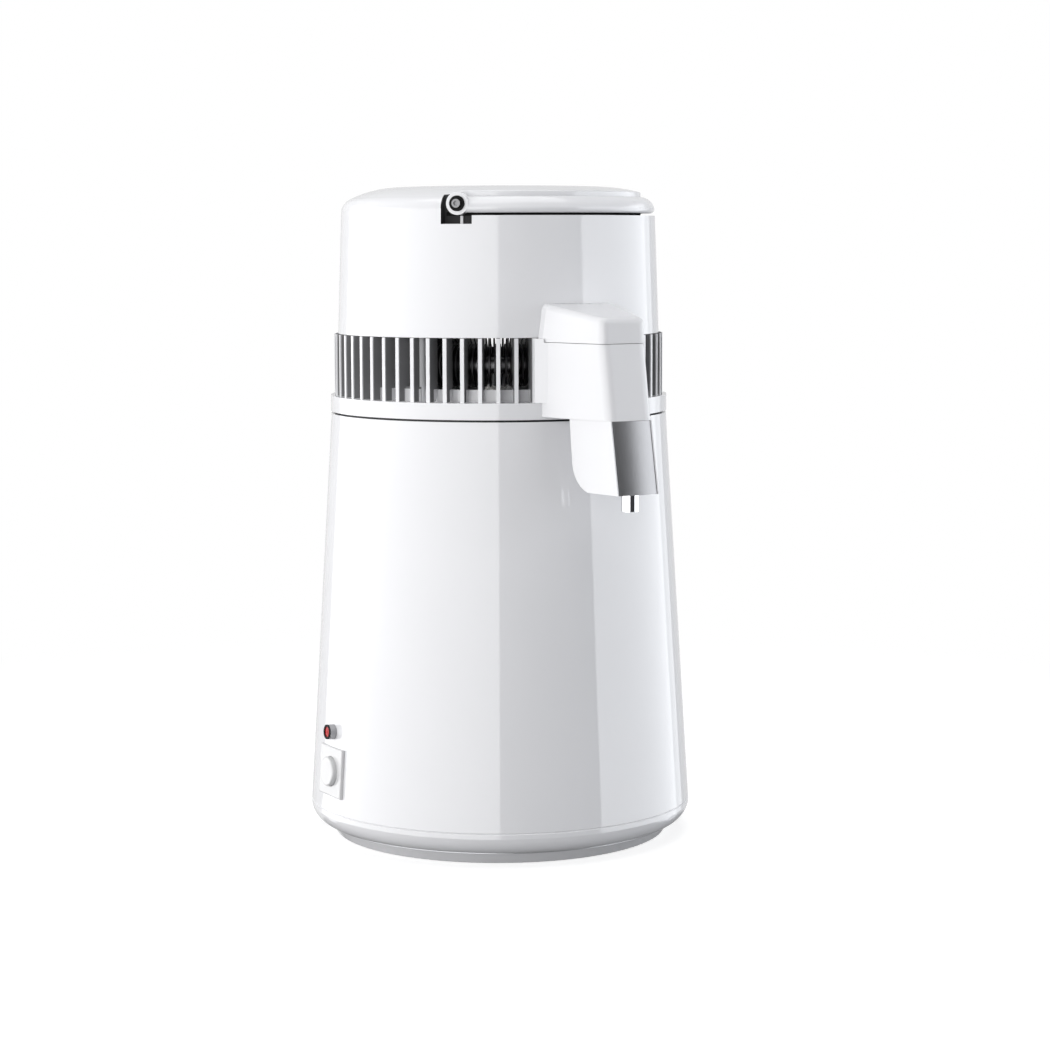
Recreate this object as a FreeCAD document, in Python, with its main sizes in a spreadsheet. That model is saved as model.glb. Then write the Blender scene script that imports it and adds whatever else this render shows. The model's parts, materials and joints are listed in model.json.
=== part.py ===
"""A countertop water distiller: base with boiling tank, lift-off head with condenser and fan, and spout.

Millimetres, +Z up. The origin is on the body's axis, in the plane that the feet stand on. The spout
points along -Y, the start button sits on the -X side and the mains inlet on the +Y side. The driving
dimensions are in the sheet named sizes; a text such as "seam_height + seam_gap" is a sum of its cells.
"""
import FreeCAD, Part
import math
import os
import re
import Sketcher

os.makedirs("parts", exist_ok=True)

Vector = FreeCAD.Vector
Rotation = FreeCAD.Rotation
Placement = FreeCAD.Placement

SIZES = {
    # base sizes
    "foot_proud": 0.25,  # how far the feet stand below the plinth under load
    "plinth_height": 7.0,  # top of the plinth ring
    "plinth_foot_radius": 97.4,  # plinth ring radius at its foot
    "plinth_top_radius": 102.0,  # plinth ring radius at its top
    "plinth_bore": 84.0,  # inner radius of the plinth ring
    "foot_radius": 5.0,  # rubber foot radius
    "foot_pocket": 3.75,  # depth of the pocket that holds a foot
    "foot_circle": 90.5,  # radius of the circle of feet and base screws
    "floor_thickness": 2.0,  # base plate thickness
    "floor_radius": 103.0,  # base plate radius
    "floor_vent_radius": 4.0,  # radius of the cooling holes in the base plate
    "floor_vent_circle": 30.0,  # radius of the circle of cooling holes
    "skirt_bore": 86.0,  # inner radius of the skirt's flange
    "skirt_wall": 2.5,  # skirt wall
    "lip_radius": 104.5,  # skirt radius at its lower edge
    "lip_height": 7.6,  # height of the skirt's lower edge
    "lip_rise": 9.4,  # height of the rounded lower edge
    "lip_arc": 12.0,  # radius of the rounded lower edge
    "spigot_height": 6.0,  # height of the skirt's spigot inside the wall
    "crease_height": 20.0,  # joint between skirt and wall
    "crease_bevel": 0.5,  # bevel on both sides of the joint between skirt and wall
    "base_radius": 112.0,  # wall radius at the crease
    "neck_radius": 98.0,  # wall radius at the seam below the head
    "seam_height": 247.8,  # top of the base wall
    "shell_wall": 1.5,  # thickness of the base wall
    "ledge_bore": 90.5,  # inner radius of the ledge that carries the tank
    "ledge_thickness": 1.2,  # ledge thickness
    "tank_sink": 1.8,  # depth of the tank rim below the top of the wall
    "tank_radius": 84.0,  # inner radius of the tank
    "tank_wall": 1.0,  # tank wall
    "tank_floor": 60.0,  # height of the tank's inner floor
    "tank_corner": 8.0,  # outer corner radius of the tank floor
    "flange_gap": 0.4,  # gap round the tank flange
    "heater_plate_radius": 58.0,  # heat spreader radius
    "heater_plate_thickness": 5.0,  # heat spreader thickness
    "element_circle": 44.0,  # radius of the heating element's loop
    "element_radius": 4.0,  # heating element tube radius
    "element_sweep": 320.0,  # angle that the heating element's loop covers
    "element_tail": 16.0,  # length of the element's terminal legs
    "terminal_pin_radius": 1.5,  # radius of the element's terminal pins
    "clamp_width": 14.0,  # width of the element clamp bar
    "clamp_thickness": 1.6,  # thickness of the element clamp bar
    "stud_radius": 3.0,  # clamp stud radius
    "stud_length": 16.0,  # clamp stud length below the heat spreader
    "stud_nut_height": 4.5,  # clamp nut height
    "stud_nut_radius": 5.6,  # clamp nut corner radius
    "thermostat_radius": 8.0,  # thermostat radius
    "thermostat_height": 7.0,  # thermostat height
    "thermostat_offset": 24.0,  # distance of each thermostat from the axis
    "base_screw_radius": 2.0,  # base screw shank radius
    "base_screw_head": 3.6,  # base screw head radius
    "base_screw_head_height": 2.4,  # base screw head height
    "base_screw_length": 8.0,  # base screw shank length
    # control sizes
    "control_height": 44.0,  # height of the button's centre
    "control_width": 28.0,  # control plate width
    "control_tall": 28.4,  # control plate height
    "control_proud": 1.1,  # how far the plate stands out of the wall
    "control_edge": 0.8,  # rounding of the plate's edge
    "button_radius": 8.5,  # start button radius
    "button_proud": 3.2,  # how far the button stands out of its plate
    "button_gap": 0.25,  # gap round the button
    "button_travel": 2.5,  # button travel
    "switch_width": 18.0,  # switch housing width
    "switch_tall": 24.0,  # switch housing height
    "switch_depth": 21.0,  # switch housing depth behind the wall
    "stem_radius": 4.0,  # button stem radius
    "stem_length": 8.0,  # button stem length
    "cap_depth": 4.0,  # depth of the button cap behind the wall's surface
    "lamp_height": 66.9,  # height of the indicator lamp
    "lamp_radius": 4.35,  # lamp barrel radius
    "lamp_proud": 3.9,  # how far the lamp barrel stands out
    "lamp_barrel_wall": 0.5,  # lamp barrel wall
    "lamp_flange": 0.5,  # thickness of the black flange over the barrel's end
    "lamp_neck_radius": 3.4,  # radius of the lamp's threaded neck
    "lamp_neck_length": 14.0,  # length of the lamp's threaded neck
    "lens_radius": 3.0,  # lamp lens radius
    "inlet_height": 52.0,  # height of the mains inlet
    "inlet_width": 24.0,  # mains inlet flange width
    "inlet_tall": 50.0,  # mains inlet flange height
    "inlet_proud": 3.0,  # mains inlet flange height over the wall
    "inlet_body_width": 19.6,  # width of the inlet's body
    "inlet_body_tall": 27.4,  # height of the inlet's body
    "inlet_room": 4.0,  # room between the inlet's back and the tank
    "inlet_pin_tail": 2.5,  # length of the inlet's pins behind its back
    "inlet_recess_width": 16.2,  # width of the inlet's socket
    "inlet_recess_tall": 24.0,  # height of the inlet's socket
    "inlet_floor": 7.0,  # thickness of the inlet's back
    "inlet_screw_pitch": 40.0,  # distance between the inlet's screws
    "inlet_screw_radius": 1.5,  # inlet screw shank radius
    "cutout_gap": 0.4,  # gap round each piece that passes through the wall
    "fan_socket_drop": 25.8,  # distance of the fan's outlet socket below the seam
    "fan_socket_radius": 9.0,  # fan socket flange radius
    "fan_socket_body": 6.0,  # fan socket body radius
    "fan_socket_depth": 10.0,  # fan socket depth behind the wall
    "terminal_length": 34.0,  # terminal block length
    "terminal_width": 14.0,  # terminal block width
    "terminal_tall": 13.0,  # terminal block height
    "terminal_offset": 46.0,  # distance of the terminal block from the axis
    "wire_radius": 1.1,  # insulated wire radius
    # head sizes
    "seam_gap": 1.2,  # gap between the base and the head
    "ring_radius": 98.3,  # radius of the head's lower ring
    "ring_height": 9.2,  # height of the head's lower ring
    "ring_wall": 2.5,  # wall of the lower ring
    "web_thickness": 2.0,  # thickness of the web inside the lower ring
    "web_bore": 76.0,  # inner radius of the web
    "upstand_radius": 85.0,  # outer radius of the upstand on the web
    "upstand_wall": 2.2,  # upstand wall
    "upstand_height": 6.8,  # upstand height above the ring
    "louvre_height": 35.8,  # height of the louvre band
    "louvre_radius": 95.9,  # outer radius of the louvre fins
    "louvre_bore": 85.5,  # inner radius of the louvre fins
    "louvre_thickness": 2.2,  # louvre fin thickness
    "louvre_count": 60,  # number of louvre fins
    "louvre_left_out": 5,  # number of fins left out behind the spout
    "louvre_turn": -70.9,  # angle of the first louvre fin, on the spout's right side
    "louvre_corner": 6.6,  # rounding of each fin's lower inner corner
    "collar_radius": 90.7,  # radius of the collar inside the head shell
    "collar_bore": 80.0,  # inner radius of the collar
    "collar_rise": 0.5,  # height of the collar's underside over the shell's edge
    "collar_thickness": 3.0,  # collar thickness
    "post_circle": 86.5,  # radius of the circle of posts
    "post_radius": 3.3,  # post radius
    "post_angle": -149.3,  # angle of the first post
    "post_block_lag": 3.0,  # angle from each post back to the middle of its block
    "post_block_half": 4.6,  # half angle of the block at a post's foot
    "post_block_height": 8.3,  # height of the block at a post's foot
    "post_block_bore": 83.2,  # inner radius of the block
    "post_block_radius": 90.0,  # outer radius of the block
    "gasket_bore": 88.0,  # inner radius of the tank gasket
    "gasket_radius": 94.0,  # outer radius of the tank gasket
    "gasket_height": 3.2,  # gasket height
    "dome_thickness": 1.0,  # steam dome sheet thickness
    "dome_rim_radius": 94.8,  # steam dome rim radius
    "dome_foot_radius": 76.5,  # radius where the dome starts to rise
    "dome_top_radius": 20.0,  # radius of the dome's flat top
    "dome_rise": 8.5,  # dome height
    "dome_boss_circle": 81.5,  # radius of the circle of dome screws
    "dome_boss_radius": 3.4,  # dome screw boss radius
    "small_screw_radius": 1.3,  # small screw shank radius
    "small_screw_head": 2.6,  # small screw head radius
    "small_screw_head_height": 1.8,  # small screw head height
    "tie_screw_radius": 1.8,  # tie screw shank radius
    "tie_screw_head": 3.2,  # tie screw head radius
    "tie_screw_head_height": 2.4,  # tie screw head height
    "tie_boss_height": 14.0,  # height of the tie screw bosses in the shell
    "tie_boss_radius": 5.0,  # radius of the tie screw bosses in the shell
    "shell_foot_radius": 93.7,  # head shell radius at its lower edge
    "shell_side_radius": 91.3,  # head shell radius where the shoulder starts
    "shell_thickness": 2.5,  # head shell wall
    "shoulder_height": 69.2,  # height of the straight side of the head shell
    "shoulder_rise": 14.8,  # height of the shoulder
    "shoulder_arc": 9.0,  # radius of the shoulder's tight arc
    "flat_radius": 58.0,  # radius of the head's flat top
    "rim_height": 67.2,  # height of the rim under the handle over the shell's lower edge
    "dome_wall_radius": 83.0,  # radius of the wall inside the handle
    "dome_edge": 1.0,  # rounding of the crown's edge inside the handle
    "crown_fall": 3.0,  # fall of the crown from its flat middle to its edge
    "crown_root": 1.2,  # how deep the crown is rooted in the shell
    "notch_height": 62.5,  # height of the notch at each pivot over the shell's lower edge
    "notch_rear": 9.3,  # notch length behind the pivot
    "notch_front": 8.4,  # notch length before the pivot
    "rear_hollow_angle": 150.0,  # angle of the hollow behind the pivots
    "pivot_height": 73.7,  # height of the handle's pivots over the shell's lower edge
    "pivot_angle": 136.9,  # direction away from the handle's middle
    "pivot_boss_radius": 6.0,  # radius of the pivot boss inside the shell
    "pivot_boss_length": 12.0,  # length of the pivot boss inside the shell
    "handle_radius": 84.0,  # inner radius of the handle
    "handle_lift": 68.6,  # height of the handle's underside over the shell's lower edge
    "handle_edge": 2.5,  # rounding of the handle's lower outer edge
    "handle_crest": 1.2,  # rounding of the handle's upper inner edge
    "lug_radius": 6.3,  # radius of the handle's lugs
    "lug_outer": 90.8,  # distance of a lug's outer face from the axis
    "lug_inner": 83.4,  # distance of a lug's inner face from the axis
    "bush_radius": 2.85,  # pivot bush sleeve radius
    "bush_flange_radius": 4.3,  # pivot bush flange radius
    "bush_flange": 0.8,  # pivot bush flange thickness
    "pivot_fit": 0.05,  # running clearance of the handle on its bushes
    "pivot_screw_radius": 1.5,  # pivot screw shank radius
    "pivot_screw_head": 2.4,  # pivot screw head radius
    "pivot_screw_head_height": 2.0,  # pivot screw head height
    "pivot_screw_length": 18.0,  # pivot screw shank length
    "socket_radius": 1.45,  # hexagon socket corner radius
    "guard_hole": 48.0,  # radius of the air opening in the head's top
    "guard_radius": 53.0,  # radius of the fan guard's rim
    "guard_rim": 1.2,  # thickness of the fan guard's rim
    "guard_depth": 2.8,  # depth of the fan guard's bars
    "guard_gap": 0.2,  # gap round the fan guard
    "bracket_circle": 70.0,  # radius of the circle of motor bracket screws
    "bracket_drop": 24.0,  # depth of the motor bracket below the top
    "bracket_thickness": 2.0,  # motor bracket thickness
    "bracket_width": 14.0,  # motor bracket arm width
    "bracket_hub": 22.0,  # radius of the bracket's middle
    "bracket_boss_radius": 4.5,  # radius of the bracket bosses
    "motor_radius": 27.0,  # fan motor radius
    "motor_height": 26.0,  # fan motor height
    "motor_screw_circle": 17.0,  # radius of the circle of motor screws
    "fan_shaft_radius": 2.0,  # fan shaft radius
    "fan_fit": 0.05,  # running clearance of the fan shaft
    "fan_drop": 8.0,  # gap between the motor and the fan hub
    "fan_hub_radius": 13.0,  # fan hub radius
    "fan_hub_height": 14.0,  # fan hub height
    "fan_radius": 58.0,  # fan blade tip radius
    "fan_blades": 5,  # number of fan blades
    "fan_blade_thickness": 1.6,  # fan blade thickness
    "fan_root_chord": 20.0,  # blade width at its root
    "fan_tip_chord": 34.0,  # blade width at its tip
    "fan_root_pitch": 32.0,  # blade pitch at its root
    "fan_tip_pitch": 20.0,  # blade pitch at its tip
    "fan_nut_height": 3.0,  # fan nut height
    "fan_nut_radius": 4.0,  # fan nut corner radius
    # condenser sizes
    "coil_circle": 70.5,  # radius of the condenser's loop
    "coil_lift": 29.0,  # height of the condenser's tube over the head's lower edge
    "coil_radius": 4.75,  # condenser tube radius
    "coil_wall": 0.8,  # condenser tube wall
    "coil_bend": 14.0,  # bend radius of the condenser's tube
    "coil_start": -53.9,  # direction of the tube from the steam dome
    "coil_fin_radius": 12.0,  # condenser fin radius
    "coil_fin_thickness": 0.8,  # condenser fin thickness
    "coil_fin_pitch": 2.7,  # distance between condenser fins
    "coil_fin_fit": 0.03,  # clearance of the fins on the tube
    "coil_reach": 111.0,  # distance of the tube's open end from the axis
    "steam_nut_height": 4.5,  # steam nut height
    "steam_nut_radius": 9.0,  # steam nut corner radius
    # spout sizes
    "spout_back": 89.6,  # distance of the spout's back wall from the axis
    "spout_root_half": 25.0,  # half width of the spout at its root
    "spout_straight": 6.0,  # length of the spout's parallel root
    "spout_front_half": 13.6,  # half width of the spout's front
    "spout_front_low": 148.0,  # distance of the spout's front at its lower edge
    "spout_front_high": 141.0,  # distance of the spout's front below the lid
    "spout_lift": 1.6,  # height of the spout's underside over the head's lower edge
    "spout_height": 41.0,  # height of the spout body
    "spout_wall": 2.2,  # spout wall
    "flange_half": 28.6,  # half width of the spout's flange on the louvre band
    "flange_reach": 4.8,  # how far the flange's slanted face reaches along the spout's side
    "flange_thickness": 1.4,  # thickness of the spout's flange
    "spout_floor": 2.5,  # spout floor thickness
    "spout_corner": 6.0,  # rounding of the spout's front corners
    "spout_clearance": 0.3,  # clearance of the lid to its neighbours
    "lid_height": 20.6,  # height of the lid at its root
    "lid_top_half": 22.0,  # half width of the lid's top at its root
    "lid_front_top": 139.5,  # distance of the lid's front at its top
    "lid_front_drop": 7.0,  # fall of the lid's top to its front
    "lid_wall": 2.0,  # lid wall
    "lid_corner": 5.0,  # rounding of the lid's corners
    "lid_edge": 3.6,  # rounding of the lid's top edges
    "shroud_back": 114.4,  # distance of the shroud's back from the axis at its top
    "shroud_back_low": 116.8,  # distance of the shroud's back where its rounded part starts
    "shroud_back_half": 18.8,  # half width of the shroud's back
    "shroud_front_half": 12.9,  # half width of the shroud's front
    "shroud_front_low": 155.5,  # distance of the shroud's front at its lower edge
    "shroud_height": 39.5,  # height of the shroud
    "shroud_sweep_height": 15.0,  # height of the shroud's rounded back
    "shroud_sweep_length": 23.6,  # length of the shroud's rounded back
    "shroud_sweep_arc": 17.5,  # radius of the shroud's rounded back
    "shroud_wall": 1.4,  # shroud wall
    "trim_rim": 0.7,  # width of the rim on each side of the front plate
    "trim_edge": 0.45,  # depth of the front plate's edges below the shroud's front
    "trim_bulge": 1.2,  # how far the front plate's middle stands before its edges
    "trim_thickness": 0.8,  # thickness of the front plate at its edges
    "trim_gap": 0.05,  # gap round the front plate
    "outlet_distance": 146.8,  # distance of the outlet tube's end from the axis
    "outlet_radius": 4.75,  # outlet tube radius
    "outlet_bore": 3.9,  # outlet tube bore radius
    "outlet_exposed": 9.4,  # length of the outlet tube below the shroud
    "outlet_straight": 3.0,  # length of the upright tube inside the shroud
    "outlet_lean": 10.6,  # angle of the tube inside the shroud
    "outlet_bend": 16.0,  # bend radius of the outlet tube
    "outlet_step": 0.15,  # step where the tube's turned end starts
    "cup_distance": 113.2,  # distance of the filter cup from the axis
    "cup_radius": 13.0,  # filter cup radius
    "cup_height": 16.5,  # filter cup height
    "cup_wall": 1.2,  # filter cup wall
    "cup_lip": 1.5,  # width of the filter cup's lip
    "grommet_radius": 7.0,  # radius of the grommet round the condenser's tube
    "seat_gap": 0.15,  # gap between the spout seat and the spout
    "seat_thickness": 2.9,  # thickness of the spout seat
    "spout_screw_half": 17.0,  # half distance between the spout's screws
    "spout_screw_low": 7.0,  # height of the lower spout screws over the ring
    "spout_screw_high": 27.0,  # height of the upper spout screws over the ring
    "shroud_screw_half": 11.0,  # half distance between the shroud's screws
    "shroud_screw_distance": 130.0,  # distance of the shroud's screws from the axis
    "gland_height": 12.0,  # height of the fan lead's gland over the shell's lower edge
    "gland_radius": 5.0,  # gland radius
    "seat_clearance": 0.1,  # clearance between pieces that are pushed together
}

doc = FreeCAD.newDocument("distiller")
sheet = doc.addObject("Spreadsheet::Sheet", "sizes")
nodes = {}
for row, (alias, value) in enumerate(SIZES.items(), 1):
    sheet.set(f"A{row}", alias)
    sheet.set(f"B{row}", str(value))
    sheet.setAlias(f"B{row}", alias)
doc.recompute()

# ---------------------------------------------------------------- levels and radii
HEAD = "(seam_height + seam_gap)"
RING_TOP = f"({HEAD} + ring_height)"
WEB = f"({RING_TOP} - web_thickness)"
SHELL = f"({RING_TOP} + louvre_height)"
COLLAR = f"({SHELL} + collar_rise)"
COLLAR_TOP = f"({COLLAR} + collar_thickness)"
SHOULDER = f"({SHELL} + shoulder_height)"
TOP = f"({SHOULDER} + shoulder_rise)"
PIVOT = f"({SHELL} + pivot_height)"
RIM = f"({SHELL} + rim_height)"
NOTCH = f"({SHELL} + notch_height)"
FLOOR = "(plinth_height + floor_thickness)"
TANK_RIM = "(seam_height - tank_sink)"
LEDGE = f"({TANK_RIM} - tank_wall)"
TANK_BASE = "(tank_floor - tank_wall)"
FAN_SOCKET = "(seam_height - fan_socket_drop)"
SPREADER = f"({TANK_BASE} - heater_plate_thickness)"
ELEMENT = f"({SPREADER} - element_radius - seat_clearance)"
CLAMP = f"({ELEMENT} - element_radius - clamp_thickness)"
DOME = f"({TANK_RIM} + gasket_height)"
COIL = f"({HEAD} + coil_lift)"
BRACKET = f"({TOP} - bracket_drop)"
MOTOR = f"({BRACKET} - motor_height)"
HUB = f"({MOTOR} - fan_drop - fan_hub_height)"
SPOUT = f"({HEAD} + spout_lift)"
SPOUT_TOP = f"({SPOUT} + spout_height)"
LID = f"({SPOUT_TOP} + spout_clearance)"
SHROUD_FOOT = f"({SPOUT} - shroud_height)"


def ex(text):
    """The same sum, written for an object that reads the sheet."""
    return re.sub(r"[a-z][a-z_0-9]*", lambda hit: f"sizes.{hit[0]}" if hit[0] in SIZES else hit[0], text)


def num(text):
    """The value of such a sum."""
    value = sheet.evalExpression(text)
    return float(getattr(value, "Value", value))


def point(across, along, up):
    """A place given by three sums."""
    return Vector(num(across), num(along), num(up))


def wall_radius(height):
    """Outer radius of the base wall at a height."""
    lean = "(base_radius - neck_radius)/(seam_height - crease_height)"
    return f"(base_radius - ({height} - crease_height)*{lean})"


def side_radius(height):
    """Outer radius of the head shell's straight side at a height."""
    return f"(shell_foot_radius - ({height} - {SHELL})*(shell_foot_radius - shell_side_radius)/shoulder_height)"


# ---------------------------------------------------------------- modelling helpers
def body(label):
    made = doc.addObject("PartDesign::Body", label)
    made.Label = label
    nodes[label] = made
    return made


def origin_feature(owner, role):
    return next(item for item in owner.Origin.OriginFeatures if item.Role == role)


def sketch_on(owner, role, lift=None, turn=None):
    """A sketch on one of the body's own planes, lifted off it by a sum and turned about its upright."""
    made = owner.newObject("Sketcher::SketchObject", "sketch")
    made.AttachmentSupport = [(origin_feature(owner, role), "")]
    made.MapMode = "FlatFace"
    if turn:
        made.AttachmentOffset = Placement(Vector(), Rotation(Vector(0, 1, 0), num(turn)))
        made.setExpression("AttachmentOffset.Rotation.Angle", ex(turn))
    if lift:
        made.setExpression("AttachmentOffset.Base.z", ex(lift))
    return made


def pin(sketch, edge, end, across, up):
    """Hold one end of an edge at its distances from the origin."""
    for kind, axis, text in (("DistanceX", -2, across), ("DistanceY", -1, up)):
        value = num(text)
        if abs(value) < 1e-9:
            sketch.addConstraint(Sketcher.Constraint("PointOnObject", edge, end, axis))
        elif value > 0:
            row = sketch.addConstraint(Sketcher.Constraint(kind, -1, 1, edge, end, value))
            sketch.setExpression(f"Constraints[{row}]", ex(text))
        else:
            row = sketch.addConstraint(Sketcher.Constraint(kind, edge, end, -1, 1, -value))
            sketch.setExpression(f"Constraints[{row}]", ex(f"-({text})"))


def arc_between(start, stop, radius):
    """The short arc from start to stop, turning left for a positive radius and right for a negative one."""
    if radius < 0:
        start, stop = stop, start
    chord = stop - start
    left = Vector(-chord.y, chord.x, 0).normalize()
    centre = (start + stop) * 0.5 + left * math.sqrt(max(radius**2 - chord.Length**2 / 4, 0))
    first = math.atan2(start.y - centre.y, start.x - centre.x)
    last = math.atan2(stop.y - centre.y, stop.x - centre.x)
    return Part.ArcOfCircle(Part.Circle(centre, Vector(0, 0, 1), abs(radius)), first, last)


def outline(sketch, corners):
    """A closed outline. A corner with a third sum, a radius, starts an arc instead of a line."""
    spots = [Vector(num(corner[0]), num(corner[1]), 0) for corner in corners]
    ends = []
    for index, corner in enumerate(corners):
        after = spots[(index + 1) % len(spots)]
        if len(corner) == 2:
            edge = sketch.addGeometry(Part.LineSegment(spots[index], after), False)
            ends.append((edge, 1, 2))
            continue
        radius = num(corner[2])
        edge = sketch.addGeometry(arc_between(spots[index], after, radius), False)
        ends.append((edge, 1, 2) if radius > 0 else (edge, 2, 1))
        row = sketch.addConstraint(Sketcher.Constraint("Radius", edge, abs(radius)))
        sketch.setExpression(f"Constraints[{row}]", ex(corner[2] if radius > 0 else f"-({corner[2]})"))
    for index, (edge, first, last) in enumerate(ends):
        following, entry, _ = ends[(index + 1) % len(ends)]
        sketch.addConstraint(Sketcher.Constraint("Coincident", edge, last, following, entry))
        pin(sketch, edge, first, corners[index][0], corners[index][1])


def circle(sketch, across, up, radius):
    """A circle held at its centre's distances from the origin."""
    spot = Vector(num(across), num(up), 0)
    edge = sketch.addGeometry(Part.Circle(spot, Vector(0, 0, 1), num(radius)), False)
    row = sketch.addConstraint(Sketcher.Constraint("Radius", edge, num(radius)))
    sketch.setExpression(f"Constraints[{row}]", ex(radius))
    pin(sketch, edge, 3, across, up)


def spin(owner, corners, cut=False, angle=None):
    """Turn an outline in the XZ plane round the upright axis, all the way or evenly about that plane."""
    profile = sketch_on(owner, "XZ_Plane")
    outline(profile, corners)
    made = owner.newObject("PartDesign::Groove" if cut else "PartDesign::Revolution", "turned")
    made.Profile = profile
    made.ReferenceAxis = (profile, ["V_Axis"])
    made.Angle = 360
    if angle:
        made.setExpression("Angle", ex(angle))
        made.Midplane = True
    return made


def raise_outline(owner, sketch, length, cut=False, back=False, even=False):
    """Pad or pocket a sketch by a sum."""
    made = owner.newObject("PartDesign::Pocket" if cut else "PartDesign::Pad", "raised")
    made.Profile = sketch
    made.setExpression("Length", ex(length))
    made.Reversed = back
    if even:
        made.SideType = "Symmetric"
    return made


def primitive(owner, kind, foot, turn=None, **measures):
    """Add or cut a primitive solid: kind as in AdditiveBox, its foot as three sums, its sizes as sums."""
    made = owner.newObject(f"PartDesign::{kind}", kind.lower())
    made.AttachmentSupport = [(origin_feature(owner, "XY_Plane"), "")]
    made.MapMode = "FlatFace"
    made.AttachmentOffset = Placement(point(*foot), turn or Rotation())
    for axis, text in zip("xyz", foot):
        made.setExpression(f"AttachmentOffset.Base.{axis}", ex(text))
    for name, text in measures.items():
        made.setExpression(name, ex(text))
    return made


def toward(x, y, z=0):
    """The turn that lays a primitive's upright along a direction."""
    return Rotation(Vector(0, 0, 1), Vector(x, y, z))


def around(owner, feature, count, angle=360):
    """Repeat a feature round the upright axis."""
    made = owner.newObject("PartDesign::PolarPattern", "pattern")
    made.Originals = [feature]
    made.Axis = (origin_feature(owner, "Z_Axis"), [""])
    made.Angle = angle
    if isinstance(count, str):
        made.setExpression("Occurrences", ex(count))
    else:
        made.Occurrences = count
    owner.Tip = made
    return made


def round_edges(owner, radius, spots, reach=0.6):
    """Fillet the edges whose middles lie at the given places."""
    doc.recompute()
    base = owner.Tip
    found = []
    for spot in spots:
        wanted = point(*spot)
        for index, edge in enumerate(base.Shape.Edges, 1):
            middle = edge.valueAt((edge.FirstParameter + edge.LastParameter) / 2)
            if (middle - wanted).Length < reach:
                found.append(f"Edge{index}")
    made = owner.newObject("PartDesign::Fillet", "fillet")
    made.Base = (base, sorted(set(found)))
    made.setExpression("Radius", ex(radius))
    return made


def round_top(owner, radius):
    """Fillet all edges of the flat face that lies highest."""
    doc.recompute()
    base = owner.Tip
    faces = []
    for index, face in enumerate(base.Shape.Faces, 1):
        low_u, high_u, low_v, high_v = face.ParameterRange
        if face.normalAt((low_u + high_u) / 2, (low_v + high_v) / 2).z > 0.9:
            faces.append((face.CenterOfMass.z, index))
    made = owner.newObject("PartDesign::Fillet", "fillet")
    made.Base = (base, [f"Face{max(faces)[1]}"])
    made.setExpression("Radius", ex(radius))
    return made


def round_rings(owner, radius, rings):
    """Fillet the round edges that lie at the given radii and heights."""
    doc.recompute()
    base = owner.Tip
    found = []
    for ring, height in rings:
        for index, edge in enumerate(base.Shape.Edges, 1):
            curve = edge.Curve
            if isinstance(curve, Part.Circle) and abs(curve.Radius - num(ring)) < 0.02:
                if abs(curve.Center.z - num(height)) < 0.02:
                    found.append(f"Edge{index}")
    made = owner.newObject("PartDesign::Fillet", "fillet")
    made.Base = (base, sorted(set(found)))
    made.setExpression("Radius", ex(radius))
    return made


def turned(label, corners):
    """A piece turned from one outline."""
    made = body(label)
    spin(made, corners)
    return made


def solid(label, shape):
    """A node whose shape is made directly."""
    made = doc.addObject("Part::Feature", label)
    made.Label = label
    made.Shape = shape
    nodes[label] = made
    return made


def ring_spots(radius, start, count):
    """Directions and places spread evenly round the axis."""
    spots = []
    for index in range(count):
        angle = math.radians(num(start) + 360 * index / count)
        spots.append(Vector(num(radius) * math.cos(angle), num(radius) * math.sin(angle), 0))
    return spots


def screw_shape(shank, length, head, head_height, socket):
    """A screw whose shank points up from the underside of its head, with a hexagon socket below."""
    shape = Part.makeCylinder(num(head), num(head_height), Vector(0, 0, -num(head_height)))
    shape = shape.fuse(Part.makeCylinder(num(shank), num(length)))
    corners = [Vector(socket * math.cos(math.radians(60 * k)), socket * math.sin(math.radians(60 * k)),
                      -num(head_height)) for k in range(7)]
    hexagon = Part.Face(Part.makePolygon(corners)).extrude(Vector(0, 0, 0.6 * num(head_height)))
    return shape.cut(hexagon).removeSplitter()


def hexagon_nut(corner, height, bore):
    """A nut standing on the XY plane."""
    corners = [Vector(corner * math.cos(math.radians(60 * k)), corner * math.sin(math.radians(60 * k)), 0)
               for k in range(7)]
    shape = Part.Face(Part.makePolygon(corners)).extrude(Vector(0, 0, height))
    return shape.cut(Part.makeCylinder(bore, height))


def copies(shape, places):
    """A group of separate solids of one shape."""
    made = []
    for place in places:
        copy = shape.copy()
        copy.Placement = place.multiply(copy.Placement)
        made.append(copy)
    return Part.makeCompound(made)


def wall_seat(angle, height):
    """The place on the base wall at a direction and height, with Z outwards and Y up the wall."""
    lean = math.atan2(num("base_radius - neck_radius"), num("seam_height - crease_height"))
    turn = math.radians(angle)
    outward = Vector(math.cos(turn) * math.cos(lean), math.sin(turn) * math.cos(lean), math.sin(lean))
    upward = Vector(-math.cos(turn) * math.sin(lean), -math.sin(turn) * math.sin(lean), math.cos(lean))
    radius = num(wall_radius(height))
    base = Vector(radius * math.cos(turn), radius * math.sin(turn), num(height))
    return Placement(base, Rotation(upward.cross(outward), upward, outward, "ZYX"))


INLET_DEPTH = f"({wall_radius('inlet_height')} - tank_radius - tank_wall - inlet_room)"


def seat_on_wall(owner, seat):
    """Shape the back of a piece to the base wall and put it in its place."""
    made = owner.newObject("PartDesign::SubtractiveCone", "wall")
    made.AttachmentSupport = [(origin_feature(owner, "XY_Plane"), "")]
    made.MapMode = "FlatFace"
    made.AttachmentOffset = seat.inverse().multiply(Placement(Vector(0, 0, num("crease_height")), Rotation()))
    made.setExpression("Radius1", ex("base_radius + seat_clearance/2"))
    made.setExpression("Radius2", ex("neck_radius + seat_clearance/2"))
    made.setExpression("Height", ex("seam_height - crease_height"))
    return made


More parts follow.
